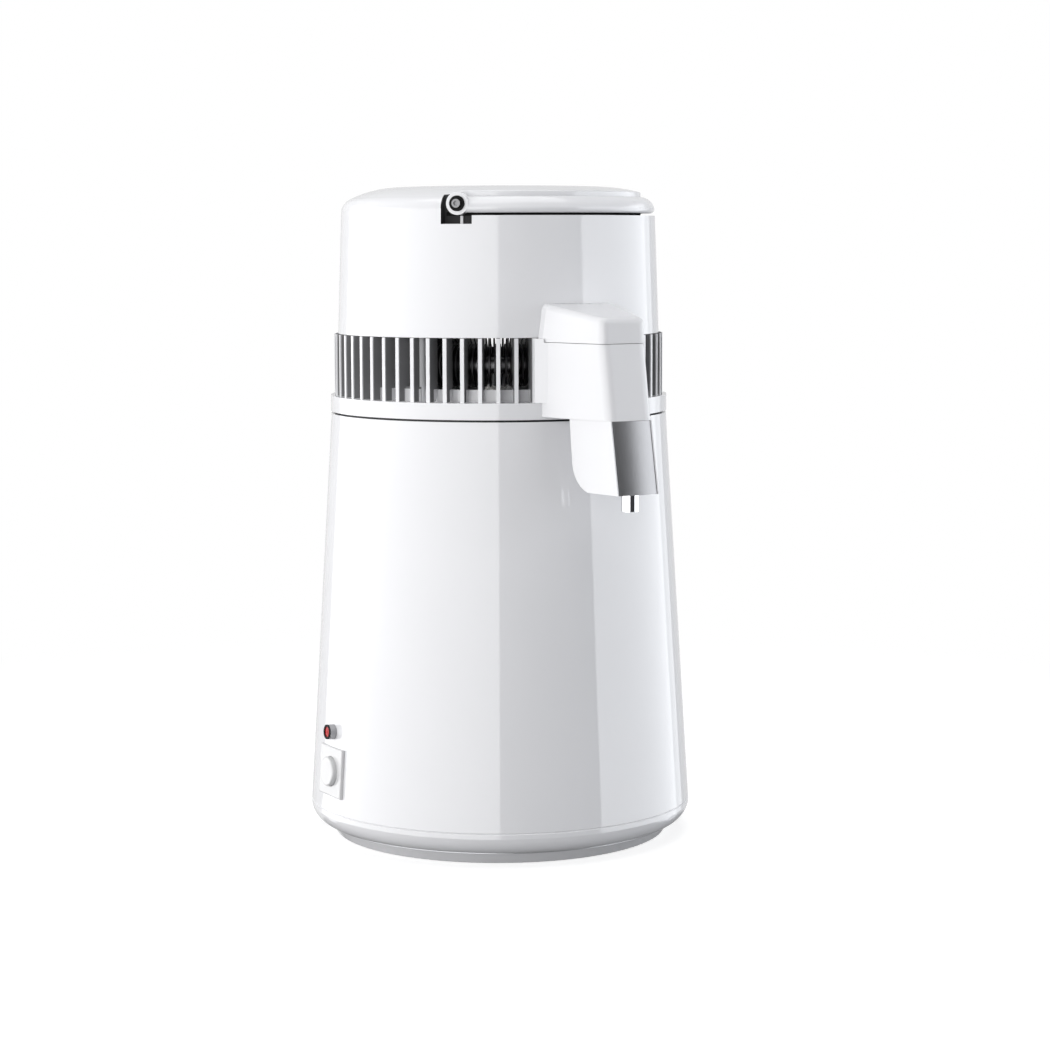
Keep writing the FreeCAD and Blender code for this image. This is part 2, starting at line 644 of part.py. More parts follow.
# ---------------------------------------------------------------- base: plinth, plate, skirt
def make_plinth():
    ring = turned("plinth_ring", [
        ("plinth_bore", "foot_proud"), ("plinth_foot_radius", "foot_proud"),
        ("plinth_top_radius", "plinth_height"), ("plinth_bore", "plinth_height")])
    round_rings(ring, "1.2", [("plinth_foot_radius", "foot_proud")])
    pocket = primitive(ring, "SubtractiveCylinder", ("foot_circle*cos(45)", "foot_circle*sin(45)", "0"),
                       Radius="foot_radius + seat_clearance", Height="foot_pocket + foot_proud")
    around(ring, pocket, 4)
    sink = primitive(ring, "SubtractiveCylinder", ("foot_circle", "0", "0"),
                     Radius="base_screw_head + 2*seat_clearance",
                     Height="foot_proud + base_screw_head_height + 0.4")
    around(ring, sink, 4)
    hole = primitive(ring, "SubtractiveCylinder", ("foot_circle", "0", "0"),
                     Radius="base_screw_radius + seat_clearance", Height="plinth_height + 1")
    around(ring, hole, 4)


def make_feet():
    foot = Part.makeCylinder(num("foot_radius"), num("foot_pocket + foot_proud"))
    places = [Placement(spot, Rotation()) for spot in ring_spots("foot_circle", "45", 4)]
    solid("rubber_feet", copies(foot, places))


def make_base_screws():
    screw = screw_shape("base_screw_radius", "base_screw_length", "base_screw_head",
                        "base_screw_head_height", num("base_screw_radius"))
    under = Vector(0, 0, num("foot_proud + base_screw_head_height + 0.4"))
    places = [Placement(spot + under, Rotation()) for spot in ring_spots("foot_circle", "0", 4)]
    solid("base_screws", copies(screw, places))


def make_base_plate():
    plate = turned("base_plate", [
        ("0", "plinth_height"), ("floor_radius", "plinth_height"), ("floor_radius", FLOOR), ("0", FLOOR)])
    hole = primitive(plate, "SubtractiveCylinder", ("foot_circle", "0", "plinth_height - 1"),
                     Radius="base_screw_radius + seat_clearance", Height="floor_thickness + 2")
    around(plate, hole, 4)
    vent = primitive(plate, "SubtractiveCylinder", ("floor_vent_circle", "0", "plinth_height - 1"),
                     Radius="floor_vent_radius", Height="floor_thickness + 2")
    around(plate, vent, 8)


def make_skirt():
    inner = "(base_radius - shell_wall - seat_clearance)"
    spigot = "(crease_height + spigot_height)"
    spigot_radius = f"({wall_radius(spigot)} - shell_wall - seat_clearance)"
    skirt = turned("base_skirt", [
        ("skirt_bore", FLOOR), ("floor_radius + 0.4", FLOOR), ("floor_radius + 0.4", "lip_height"),
        ("lip_radius", "lip_height", "lip_arc"), ("base_radius", "lip_height + lip_rise"),
        ("base_radius", "crease_height - crease_bevel"), ("base_radius - crease_bevel", "crease_height"),
        (inner, "crease_height"), (spigot_radius, spigot),
        (f"{spigot_radius} - skirt_wall", spigot), (f"{inner} - skirt_wall - 1.5", f"{FLOOR} + skirt_wall"),
        ("skirt_bore", f"{FLOOR} + skirt_wall")])
    hole = primitive(skirt, "SubtractiveCylinder", ("foot_circle", "0", f"{FLOOR} - 1"),
                     Radius="base_screw_radius + seat_clearance/2", Height="skirt_wall + 2")
    around(skirt, hole, 4)


def make_base_shell():
    ledge_under = f"({LEDGE} - ledge_thickness)"
    shell = turned("base_shell", [
        ("base_radius - shell_wall", "crease_height"), ("base_radius - crease_bevel", "crease_height"),
        (wall_radius("(crease_height + crease_bevel)"), "crease_height + crease_bevel"),
        ("neck_radius", "seam_height"), ("neck_radius - shell_wall", "seam_height"),
        (f"{wall_radius(LEDGE)} - shell_wall", LEDGE), ("ledge_bore", LEDGE),
        ("ledge_bore", ledge_under), (f"{wall_radius(ledge_under)} - shell_wall", ledge_under)])
    primitive(shell, "SubtractiveBox",
              ("-base_radius - 5", "-switch_width/2 - cutout_gap", "control_height - switch_tall/2 - cutout_gap"),
              Length="15", Width="switch_width + 2*cutout_gap", Height="switch_tall + 2*cutout_gap")
    primitive(shell, "SubtractiveCylinder", ("-base_radius + 10", "0", "lamp_height - 0.05"), toward(-1, 0),
              Radius="lamp_neck_radius + cutout_gap", Height="20")
    primitive(shell, "SubtractiveBox",
              ("-inlet_body_width/2 - cutout_gap", "base_radius - 12",
               "inlet_height - inlet_body_tall/2 - 2*cutout_gap"),
              Length="inlet_body_width + 2*cutout_gap", Width="15", Height="inlet_body_tall + 4*cutout_gap")
    for side in (-1, 1):
        primitive(shell, "SubtractiveCylinder",
                  ("0", "base_radius - 12", f"inlet_height + {side}*inlet_screw_pitch/2"), toward(0, 1),
                  Radius="inlet_screw_radius + cutout_gap", Height="15")
    primitive(shell, "SubtractiveCylinder", ("0", "neck_radius - 12", f"{FAN_SOCKET} - 0.5"), toward(0, 1),
              Radius="fan_socket_body + 2*cutout_gap", Height="20")


# ---------------------------------------------------------------- base: tank and heater
def make_tank():
    outer = "(tank_radius + tank_wall)"
    rim = f"({wall_radius(LEDGE)} - shell_wall - flange_gap)"
    tank = turned("boiling_tank", [
        ("0", TANK_BASE), (outer, TANK_BASE), (outer, LEDGE), (rim, LEDGE), (rim, TANK_RIM),
        ("tank_radius", TANK_RIM), ("tank_radius", "tank_floor"), ("0", "tank_floor")])
    round_rings(tank, "tank_corner", [(outer, TANK_BASE)])
    round_rings(tank, "tank_corner - tank_wall", [("tank_radius", "tank_floor")])


def make_heater():
    turned("heater_plate", [("0", SPREADER), ("heater_plate_radius", SPREADER),
                            ("heater_plate_radius", TANK_BASE), ("0", TANK_BASE)])
    make_element()
    clamp = body("heater_clamp")
    reach = "(element_circle + element_radius)"
    primitive(clamp, "AdditiveBox", (f"-{reach}", "-clamp_width/2", CLAMP),
              Length=f"2*{reach}", Width="clamp_width", Height="clamp_thickness")
    primitive(clamp, "SubtractiveCylinder", ("0", "0", f"{CLAMP} - 1"),
              Radius="stud_radius + seat_clearance", Height="clamp_thickness + 2")
    turned("clamp_stud", [("0", f"{SPREADER} - stud_length"), ("stud_radius", f"{SPREADER} - stud_length"),
                          ("stud_radius", SPREADER), ("0", SPREADER)])
    nut = hexagon_nut(num("stud_nut_radius"), num("stud_nut_height"), num("stud_radius + seat_clearance/2"))
    nut.translate(Vector(0, 0, num(f"{CLAMP} - stud_nut_height")))
    solid("clamp_nut", nut)
    for label, side in (("operating_thermostat", 1), ("cutout_thermostat", -1)):
        make_thermostat(label, side)


def make_element():
    """A tubular loop, open on the +Y side, with two legs that turn down and end in pins."""
    circle_radius = num("element_circle")
    gap = (360 - num("element_sweep")) / 2
    loop = Part.makeTorus(circle_radius, num("element_radius"), Vector(), Vector(0, 0, 1), 0, 360,
                          num("element_sweep"))
    loop.rotate(Vector(), Vector(0, 0, 1), 90 + gap)
    loop.translate(Vector(0, 0, num(ELEMENT)))
    for side in (-1, 1):
        turn = math.radians(90 + side * gap)
        spot = Vector(circle_radius * math.cos(turn), circle_radius * math.sin(turn), num(ELEMENT))
        loop = loop.fuse(Part.makeSphere(num("element_radius"), spot))
        leg = Part.makeCylinder(num("element_radius"), num("element_tail"), spot, Vector(0, 0, -1))
        tip = Part.makeCylinder(num("terminal_pin_radius"), num("element_tail + 8"), spot, Vector(0, 0, -1))
        loop = loop.fuse(leg).fuse(tip)
    solid("heater_element", loop.removeSplitter())


def make_thermostat(label, side):
    """A disc thermostat with two tab terminals, screwed flat against the heat spreader."""
    piece = body(label)
    foot = f"{SPREADER} - thermostat_height"
    primitive(piece, "AdditiveCylinder", ("0", f"{side}*thermostat_offset", foot),
              Radius="thermostat_radius", Height="thermostat_height")
    for edge in (-1, 1):
        primitive(piece, "AdditiveBox", (f"{edge}*4 - 3.15", f"{side}*thermostat_offset - 0.4", f"{foot} - 8"),
                  Length="6.3", Width="0.8", Height="9")


def make_terminal_block():
    block = body("terminal_block")
    primitive(block, "AdditiveBox", ("-terminal_length/2", "terminal_offset", FLOOR),
              Length="terminal_length", Width="terminal_width", Height="terminal_tall")
    for index in (-1, 0, 1):
        primitive(block, "SubtractiveCylinder",
                  (f"{index}*10", "terminal_offset - 1", f"{FLOOR} + terminal_tall/2 - 1.5"), toward(0, 1),
                  Radius="wire_radius + seat_clearance", Height="terminal_width + 2")
        primitive(block, "SubtractiveCylinder",
                  (f"{index}*10", "terminal_offset + terminal_width/2", f"{FLOOR} + terminal_tall/2"),
                  Radius="2.5", Height="terminal_tall")
    head = Part.makeCylinder(2.4, 3)
    lift = num(f"{FLOOR} + terminal_tall - 5")
    places = [Placement(Vector(10 * k, num("terminal_offset + terminal_width/2"), lift), Rotation())
              for k in (-1, 0, 1)]
    solid("terminal_screws", copies(head, places))


# ---------------------------------------------------------------- base: controls and sockets
def make_control_plate():
    plate = body("control_plate")
    half = "(control_width/2)"
    primitive(plate, "AdditiveBox", (f"-{half}", "-control_tall/2", "-2"),
              Length="control_width", Width="control_tall", Height="control_proud + 2")
    front = "control_proud"
    round_edges(plate, "control_edge", [
        (half, "0", front), (f"-{half}", "0", front), ("0", "control_tall/2", front),
        ("0", "-control_tall/2", front)])
    primitive(plate, "SubtractiveCylinder", ("0", "0", "-3"),
              Radius="button_radius + button_gap", Height="control_proud + 4")
    seat = wall_seat(180, "control_height")
    seat_on_wall(plate, seat)
    plate.Placement = seat


def make_switch():
    seat = wall_seat(180, "control_height")
    housing = body("switch_housing")
    front = "0.5"
    primitive(housing, "AdditiveBox", ("-switch_width/2", "-switch_tall/2", "-switch_depth"),
              Length="switch_width", Width="switch_tall", Height=f"switch_depth - {front}")
    primitive(housing, "SubtractiveCylinder", ("0", "0", "-cap_depth - button_travel - 0.8"),
              Radius="button_radius + button_gap", Height="20")
    primitive(housing, "SubtractiveCylinder", ("0", "0", "-cap_depth - stem_length - button_travel - 1.5"),
              Radius="stem_radius + button_gap", Height="20")
    housing.Placement = seat
    proud = "(control_proud + button_proud)"
    button = turned("start_button", [
        ("0", "-cap_depth - stem_length"), ("stem_radius", "-cap_depth - stem_length"),
        ("stem_radius", "-cap_depth"), ("button_radius", "-cap_depth"),
        ("button_radius", f"{proud} - 0.5"), ("0", f"{proud} - 0.5")])
    round_rings(button, "1.2", [("button_radius", f"{proud} - 0.5")])
    button.Placement = seat


def make_lamp():
    seat = wall_seat(180, "lamp_height")
    inner = "(lamp_radius - lamp_barrel_wall)"
    bore = "(lamp_neck_radius - 0.7)"
    bezel = turned("lamp_bezel", [
        (bore, "-lamp_neck_length"), ("lamp_neck_radius", "-lamp_neck_length"),
        ("lamp_neck_radius", "0.05"), ("lamp_radius", "0.05"), ("lamp_radius", "lamp_proud"),
        (inner, "lamp_proud"), (inner, "1.2"), (bore, "1.2")])
    flange = "(lamp_proud + 0.05)"
    holder = turned("lamp_holder", [
        ("lens_radius + 0.05", "1.2"), (f"{inner} - 0.05", "1.2"), (f"{inner} - 0.05", flange),
        ("lamp_radius - 0.1", flange), ("lamp_radius - 0.1", f"{flange} + lamp_flange"),
        ("lens_radius + 0.05", f"{flange} + lamp_flange")])
    lens = turned("lamp_lens", [
        ("0", "1.2"), ("lens_radius", "1.2"), ("lens_radius", flange),
        ("0", f"{flange} + lamp_flange + 0.3")])
    for piece in (bezel, holder, lens):
        piece.Placement = seat
    nut = hexagon_nut(5.2, 2.5, num("lamp_neck_radius + seat_clearance/2"))
    nut.translate(Vector(0, 0, num("-shell_wall - 0.2") - 2.5))
    nut.Placement = seat.multiply(nut.Placement)
    solid("lamp_nut", nut)


def make_inlet():
    seat = wall_seat(90, "inlet_height")
    inlet = body("power_inlet")
    primitive(inlet, "AdditiveBox", ("-inlet_width/2", "-inlet_tall/2", "-2"),
              Length="inlet_width", Width="inlet_tall", Height="inlet_proud + 2")
    seat_on_wall(inlet, seat)
    primitive(inlet, "AdditiveBox", ("-inlet_body_width/2", "-inlet_body_tall/2", f"-{INLET_DEPTH}"),
              Length="inlet_body_width", Width="inlet_body_tall", Height=f"{INLET_DEPTH} + 1")
    primitive(inlet, "SubtractiveBox",
              ("-inlet_recess_width/2", "-inlet_recess_tall/2", f"inlet_floor - {INLET_DEPTH}"),
              Length="inlet_recess_width", Width="inlet_recess_tall", Height=f"{INLET_DEPTH} + inlet_proud")
    for side in (-1, 1):
        primitive(inlet, "SubtractiveCylinder", ("0", f"{side}*inlet_screw_pitch/2", "-5"),
                  Radius="inlet_screw_radius + seat_clearance", Height="inlet_proud + 6")
    for across, along in ((3, 0), (-3, 7), (-3, -7)):
        primitive(inlet, "SubtractiveBox", (f"{across} - 1.05", f"{along} - 2.05", f"-{INLET_DEPTH} - 1"),
                  Length="2.1", Width="4.1", Height=f"{INLET_DEPTH} + 2")
    inlet.Placement = seat
    back = num(f"{INLET_DEPTH} + inlet_pin_tail")
    pins = [Part.makeBox(2, 4, back - 2, Vector(across - 1, along - 2, -back))
            for across, along in ((3, 0), (-3, 7), (-3, -7))]
    group = Part.makeCompound(pins)
    group.Placement = seat
    solid("inlet_pins", group)
    screw = screw_shape("inlet_screw_radius", "inlet_proud + 6", "2.6", "1.6", 1.3)
    flip = Rotation(Vector(1, 0, 0), 180)
    places = [seat.multiply(Placement(Vector(0, side * num("inlet_screw_pitch") / 2, num("inlet_proud")), flip))
              for side in (-1, 1)]
    solid("inlet_screws", copies(screw, places))


def make_fan_socket():
    seat = wall_seat(90, FAN_SOCKET)
    socket = body("fan_socket")
    primitive(socket, "AdditiveCylinder", ("0", "0", "-2"), Radius="fan_socket_radius", Height="4.5")
    seat_on_wall(socket, seat)
    primitive(socket, "AdditiveCylinder", ("0", "0", "-fan_socket_depth"), Radius="fan_socket_body",
              Height="fan_socket_depth + 1")
    primitive(socket, "SubtractiveCylinder", ("0", "0", "-fan_socket_depth + 1.5"),
              Radius="fan_socket_body - 1.5", Height="fan_socket_depth + 5")
    socket.Placement = seat


# ---------------------------------------------------------------- head: lower ring and louvres
def make_vent_ring():
    ring = body("vent_ring")
    inner = "(ring_radius - ring_wall)"
    upstand = "(upstand_radius - upstand_wall)"
    spin(ring, [
        ("web_bore", WEB), (inner, WEB), (inner, HEAD), ("ring_radius", HEAD), ("ring_radius", RING_TOP),
        ("upstand_radius", RING_TOP), ("upstand_radius", f"{RING_TOP} + upstand_height"),
        (upstand, f"{RING_TOP} + upstand_height"), (upstand, RING_TOP), ("web_bore", RING_TOP)])
    spin(ring, [("collar_bore", COLLAR), ("collar_radius", COLLAR), ("collar_radius", COLLAR_TOP),
                ("collar_bore", COLLAR_TOP)])
    add_posts(ring)
    add_spout_seat(ring)
    add_louvres(ring)
    hole = primitive(ring, "SubtractiveCylinder",
                     ("post_circle*cos(post_angle)", "post_circle*sin(post_angle)", f"{WEB} - 1"),
                     Radius="tie_screw_radius + seat_clearance", Height=f"{COLLAR_TOP} - {WEB} + 2")
    around(ring, hole, 4)


def add_louvres(ring):
    """Fins all round, apart from those that would stand in the spout's place."""
    profile = sketch_on(ring, "XZ_Plane", turn="louvre_turn")
    low = f"({RING_TOP} - 0.3)"
    outline(profile, [
        ("louvre_bore + louvre_corner", low), ("louvre_radius", low), ("louvre_radius", f"{SHELL} - 0.2"),
        ("collar_radius", f"{SHELL} - 0.2"), ("collar_radius", COLLAR_TOP), ("louvre_bore", COLLAR_TOP),
        ("louvre_bore", f"{low} + louvre_corner", "louvre_corner")])
    fin = raise_outline(ring, profile, "louvre_thickness", even=True)
    pattern = around(ring, fin, "louvre_count - louvre_left_out")
    pattern.setExpression("Angle", ex("360 - 360*(louvre_left_out + 1)/louvre_count"))


def add_posts(ring):
    post = primitive(ring, "AdditiveCylinder",
                     ("post_circle*cos(post_angle)", "post_circle*sin(post_angle)", f"{RING_TOP} - 0.5"),
                     Radius="post_radius", Height=f"{COLLAR_TOP} - {RING_TOP} + 0.5")
    around(ring, post, 4)
    middle = "(post_angle - post_block_lag)"
    plan = sketch_on(ring, "XY_Plane", f"{RING_TOP} - 0.5")
    outline(plan, [(f"{radius}*cos({middle} {turn} post_block_half)",
                    f"{radius}*sin({middle} {turn} post_block_half)")
                   for radius, turn in (("post_block_bore", "-"), ("post_block_radius", "-"),
                                        ("post_block_radius", "+"), ("post_block_bore", "+"))])
    block = raise_outline(ring, plan, "post_block_height + 0.5")
    around(ring, block, 4)
    turn = "(post_angle + 45)"
    place = (f"dome_boss_circle*cos({turn})", f"dome_boss_circle*sin({turn})")
    boss = primitive(ring, "AdditiveCylinder", (*place, f"{DOME} + dome_thickness"),
                     Radius="dome_boss_radius", Height=f"{WEB} - {DOME} - dome_thickness + 0.5")
    around(ring, boss, 4)
    pilot = primitive(ring, "SubtractiveCylinder", (*place, f"{DOME} - 1"),
                      Radius="small_screw_radius + seat_clearance/2", Height=f"{WEB} - {DOME} + 1")
    around(ring, pilot, 4)


def add_spout_seat(ring):
    for half, top in (("spout_root_half", f"({SHELL} - 0.2)"), ("(spout_root_half/2)", f"({COLLAR} + 0.3)")):
        primitive(ring, "AdditiveBox", (f"-{half}", "-spout_back + seat_gap", f"{RING_TOP} - 0.3"),
                  Length=f"2*{half}", Width="seat_thickness", Height=f"{top} - {RING_TOP} + 0.3")
    primitive(ring, "SubtractiveCylinder", ("0", "-ring_radius", COIL), toward(0, 1),
              Radius="grommet_radius + seat_clearance/2", Height="ring_radius - coil_circle - 2")
    for side in (-1, 1):
        for rise in ("spout_screw_low", "spout_screw_high"):
            primitive(ring, "SubtractiveCylinder",
                      (f"{side}*spout_screw_half", "-spout_back - 2", f"{RING_TOP} + {rise}"), toward(0, 1),
                      Radius="small_screw_radius + seat_clearance", Height="seat_thickness + 3")


def make_tie_screws():
    screw = screw_shape("tie_screw_radius", f"{COLLAR_TOP} - {WEB} + tie_boss_height - 2", "tie_screw_head",
                        "tie_screw_head_height", 1.6)
    under = Vector(0, 0, num(WEB))
    places = [Placement(spot + under, Rotation()) for spot in ring_spots("post_circle", "post_angle", 4)]
    solid("tie_screws", copies(screw, places))


# ---------------------------------------------------------------- head: steam dome
def make_steam_dome():
    turned("tank_gasket", [("gasket_bore", TANK_RIM), ("gasket_radius", TANK_RIM),
                           ("gasket_radius", DOME), ("gasket_bore", DOME)])
    bore = "(coil_radius + 0.6)"
    top = f"({DOME} + dome_rise)"
    dome = turned("steam_dome", [
        (bore, top), ("dome_top_radius", top), ("dome_foot_radius", DOME), ("dome_rim_radius", DOME),
        ("dome_rim_radius", f"{DOME} + dome_thickness"), ("dome_foot_radius + 0.2", f"{DOME} + dome_thickness"),
        ("dome_top_radius + 0.2", f"{top} + dome_thickness"), (bore, f"{top} + dome_thickness")])
    turn = "(post_angle + 45)"
    hole = primitive(dome, "SubtractiveCylinder",
                     (f"dome_boss_circle*cos({turn})", f"dome_boss_circle*sin({turn})", f"{DOME} - 1"),
                     Radius="small_screw_radius + seat_clearance", Height="dome_thickness + 2")
    around(dome, hole, 4)
    screw = screw_shape("small_screw_radius", f"{WEB} - {DOME} - 0.5", "small_screw_head",
                        "small_screw_head_height", 1.2)
    under = Vector(0, 0, num(DOME))
    places = [Placement(spot + under, Rotation()) for spot in ring_spots("dome_boss_circle", turn, 4)]
    solid("dome_screws", copies(screw, places))
    nut = hexagon_nut(num("steam_nut_radius"), num("steam_nut_height"), num("coil_radius + seat_clearance/2"))
    nut.translate(Vector(0, 0, num(f"{top} + dome_thickness")))
    solid("steam_nut", nut)


# ---------------------------------------------------------------- head: condenser
def condenser_geometry():
    """The corners and tangent points of the condenser's centre line."""
    ring, bend, level = num("coil_circle"), num("coil_bend"), num(COIL)
    start = math.radians(num("coil_start"))
    inner = ring - bend
    run = math.sqrt(inner**2 - bend**2)
    first = start + math.atan2(bend, run)
    outer = ring + bend
    last = math.atan2(-math.sqrt(outer**2 - bend**2), -bend) + 2 * math.pi
    return ring, bend, level, start, run, first, last


def condenser_path():
    """Up from the dome, out along a radius, round the loop, and out through the spout seat."""
    ring, bend, level, start, run, first, last = condenser_geometry()
    out = Vector(math.cos(start), math.sin(start), 0)
    side = Vector(-out.y, out.x, 0)
    foot = Vector(0, 0, num(f"{DOME} + dome_rise - 2"))
    rise = Vector(0, 0, level - bend)
    lift = Vector(0, 0, bend)
    corner = rise + out * bend * (1 - math.sqrt(0.5)) + lift * math.sqrt(0.5)
    elbow = rise + out * bend + lift
    leave = out * run + Vector(0, 0, level)
    centre = leave + side * bend
    enter = Vector(ring * math.cos(first), ring * math.sin(first), level)
    middle_turn = centre + ((leave - centre) + (enter - centre)).normalize() * bend
    turns = [first + (last - first) * share for share in (0.25, 0.5, 0.75, 1.0)]
    swing = [Vector(ring * math.cos(turn), ring * math.sin(turn), level) for turn in turns]
    exit_centre = Vector(-bend, swing[3].y * (ring + bend) / ring, level)
    straight = Vector(0, exit_centre.y, level)
    middle_exit = exit_centre + ((swing[3] - exit_centre) + (straight - exit_centre)).normalize() * bend
    end = Vector(0, -num("coil_reach"), level)
    edges = [
        Part.LineSegment(foot, rise).toShape(), Part.Arc(rise, corner, elbow).toShape(),
        Part.LineSegment(elbow, leave).toShape(), Part.Arc(leave, middle_turn, enter).toShape(),
        Part.Arc(enter, swing[0], swing[1]).toShape(), Part.Arc(swing[1], swing[2], swing[3]).toShape(),
        Part.Arc(swing[3], middle_exit, straight).toShape(), Part.LineSegment(straight, end).toShape()]
    return Part.Wire(edges)


def tube_shape(path, start, direction, radius, bore):
    """A round tube along a path, or a rod where the bore is nought."""
    sizes = [size_now for size_now in (radius, bore) if size_now > 0]
    rings = [Part.Wire(Part.makeCircle(size_now, start, direction)) for size_now in sizes]
    solids = [path.makePipeShell([ring], True, False) for ring in rings]
    return solids[0].cut(solids[1]) if len(solids) == 2 else solids[0]


def make_condenser():
    path = condenser_path()
    foot = Vector(0, 0, num(f"{DOME} + dome_rise - 2"))
    tube = tube_shape(path, foot, Vector(0, 0, 1), num("coil_radius"), num("coil_radius - coil_wall"))
    solid("condenser_coil", tube)
    ring, _, level, _, _, first, last = condenser_geometry()
    disc = Part.makeCylinder(num("coil_fin_radius"), num("coil_fin_thickness"))
    disc = disc.cut(Part.makeCylinder(num("coil_radius + coil_fin_fit"), num("coil_fin_thickness")))
    count = int((last - first) * ring / num("coil_fin_pitch"))
    places = []
    for index in range(count):
        turn = first + (last - first) * (index + 0.5) / count
        spot = Vector(ring * math.cos(turn), ring * math.sin(turn), level)
        places.append(Placement(spot, toward(-math.sin(turn), math.cos(turn))))
    solid("condenser_fins", copies(disc, places))


def make_grommet():
    grommet = body("tube_grommet")
    back = "(-spout_back + seat_gap + seat_thickness)"
    primitive(grommet, "AdditiveCylinder", ("0", back, COIL), toward(0, -1),
              Radius="grommet_radius", Height="seat_thickness + spout_wall + seat_gap + 1")
    primitive(grommet, "SubtractiveCylinder", ("0", f"{back} + 1", COIL), toward(0, -1),
              Radius="coil_radius + seat_clearance/2", Height="20")


# ---------------------------------------------------------------- head: shell
def big_arc(offset):
    """Radius and centre height of the shoulder's wide arc, and where the two arcs meet, for a wall offset."""
    span = "(shell_side_radius - flat_radius)"
    chord = f"({span} - shoulder_arc)^2 + shoulder_rise^2 - shoulder_arc^2"
    wide = f"(({chord})/(2*(shoulder_rise - shoulder_arc)))"
    sine = f"(({span} - shoulder_arc)/({wide} - shoulder_arc))"
    cosine = f"(({wide} - shoulder_rise)/({wide} - shoulder_arc))"
    meet_radius = f"(shell_side_radius - shoulder_arc + (shoulder_arc - {offset})*{sine})"
    meet_height = f"({SHOULDER} + (shoulder_arc - {offset})*{cosine})"
    return wide, f"({TOP} - {wide})", meet_radius, meet_height


def shoulder_level(radius, offset="0"):
    """Height of the shoulder's wide arc at a radius."""
    wide, centre, _, _ = big_arc(offset)
    return f"({centre} + sqrt(({wide} - {offset})^2 - ({radius} - flat_radius)^2))"


def make_head_shell():
    """The shell is made with its pivots along Y and the handle's side towards -X."""
    shell = body("head_shell")
    wide, _, meet_radius, meet_height = big_arc("0")
    spin(shell, [
        ("0", SHELL), ("shell_foot_radius", SHELL), ("shell_side_radius", SHOULDER, "shoulder_arc"),
        (meet_radius, meet_height, wide), ("flat_radius", TOP), ("0", TOP)])
    add_crown(shell)
    hollow_shell(shell)
    cut_handle_recess(shell)
    add_shell_bosses(shell)
    cut_top_opening(shell)
    shell.Placement = Placement(Vector(), Rotation(Vector(0, 0, 1), num("pivot_angle")))
    shell.setExpression("Placement.Rotation.Angle", ex("pivot_angle"))


def hollow_shell(shell):
    wall = "shell_thickness"
    step = f"({NOTCH} - {wall})"
    inner = f"(dome_wall_radius - {wall})"
    wide, _, meet_radius, meet_height = big_arc(wall)
    spin(shell, [
        ("0", f"{SHELL} - 1"), (f"{side_radius(f'({SHELL} - 1)')} - {wall}", f"{SHELL} - 1"),
        (f"{side_radius(step)} - {wall}", step), (inner, step),
        (inner, shoulder_level(inner, wall), f"({wide} - {wall})"), ("flat_radius", f"{TOP} - {wall}"),
        ("0", f"{TOP} - {wall}")], cut=True)
    spin(shell, [
        (f"{inner} - 1", f"{step} - 1"), (f"{side_radius(f'({step} - 1)')} - {wall}", f"{step} - 1"),
        (f"shell_side_radius - {wall}", SHOULDER, f"shoulder_arc - {wall}"),
        (meet_radius, meet_height, f"({wide} - {wall})"),
        (f"{inner} - 1", shoulder_level(f"({inner} - 1)", wall))],
        cut=True, angle="rear_hollow_angle")


def add_crown(shell):
    """Inside the handle the top stands higher than the shoulder and ends in an upright edge."""
    edge = "(dome_wall_radius - dome_edge)"
    arc = f"((({edge} - flat_radius)^2 + crown_fall^2)/(2*crown_fall))"
    wide, _, _, _ = big_arc("0")
    spin(shell, [
        ("-flat_radius", TOP, arc), (f"-{edge}", f"{TOP} - crown_fall", "dome_edge"),
        ("-dome_wall_radius", f"{TOP} - crown_fall - dome_edge"),
        ("-dome_wall_radius", shoulder_level("dome_wall_radius", "crown_root"), f"-({wide} - crown_root)"),
        ("-flat_radius", f"{TOP} - crown_root")], angle="180")


def cut_handle_recess(shell):
    outside = "(shell_foot_radius + 5)"
    spin(shell, [
        ("-dome_wall_radius", RIM), ("-dome_wall_radius", f"{TOP} + 5"), (f"-{outside}", f"{TOP} + 5"),
        (f"-{outside}", RIM)], cut=True, angle="180")
    for side in (-1, 1):
        foot = "dome_wall_radius" if side == 1 else "-dome_wall_radius - 20"
        primitive(shell, "SubtractiveBox", ("-notch_front", foot, NOTCH),
                  Length="notch_front + notch_rear", Width="20", Height=f"{TOP} - {NOTCH} + 5")


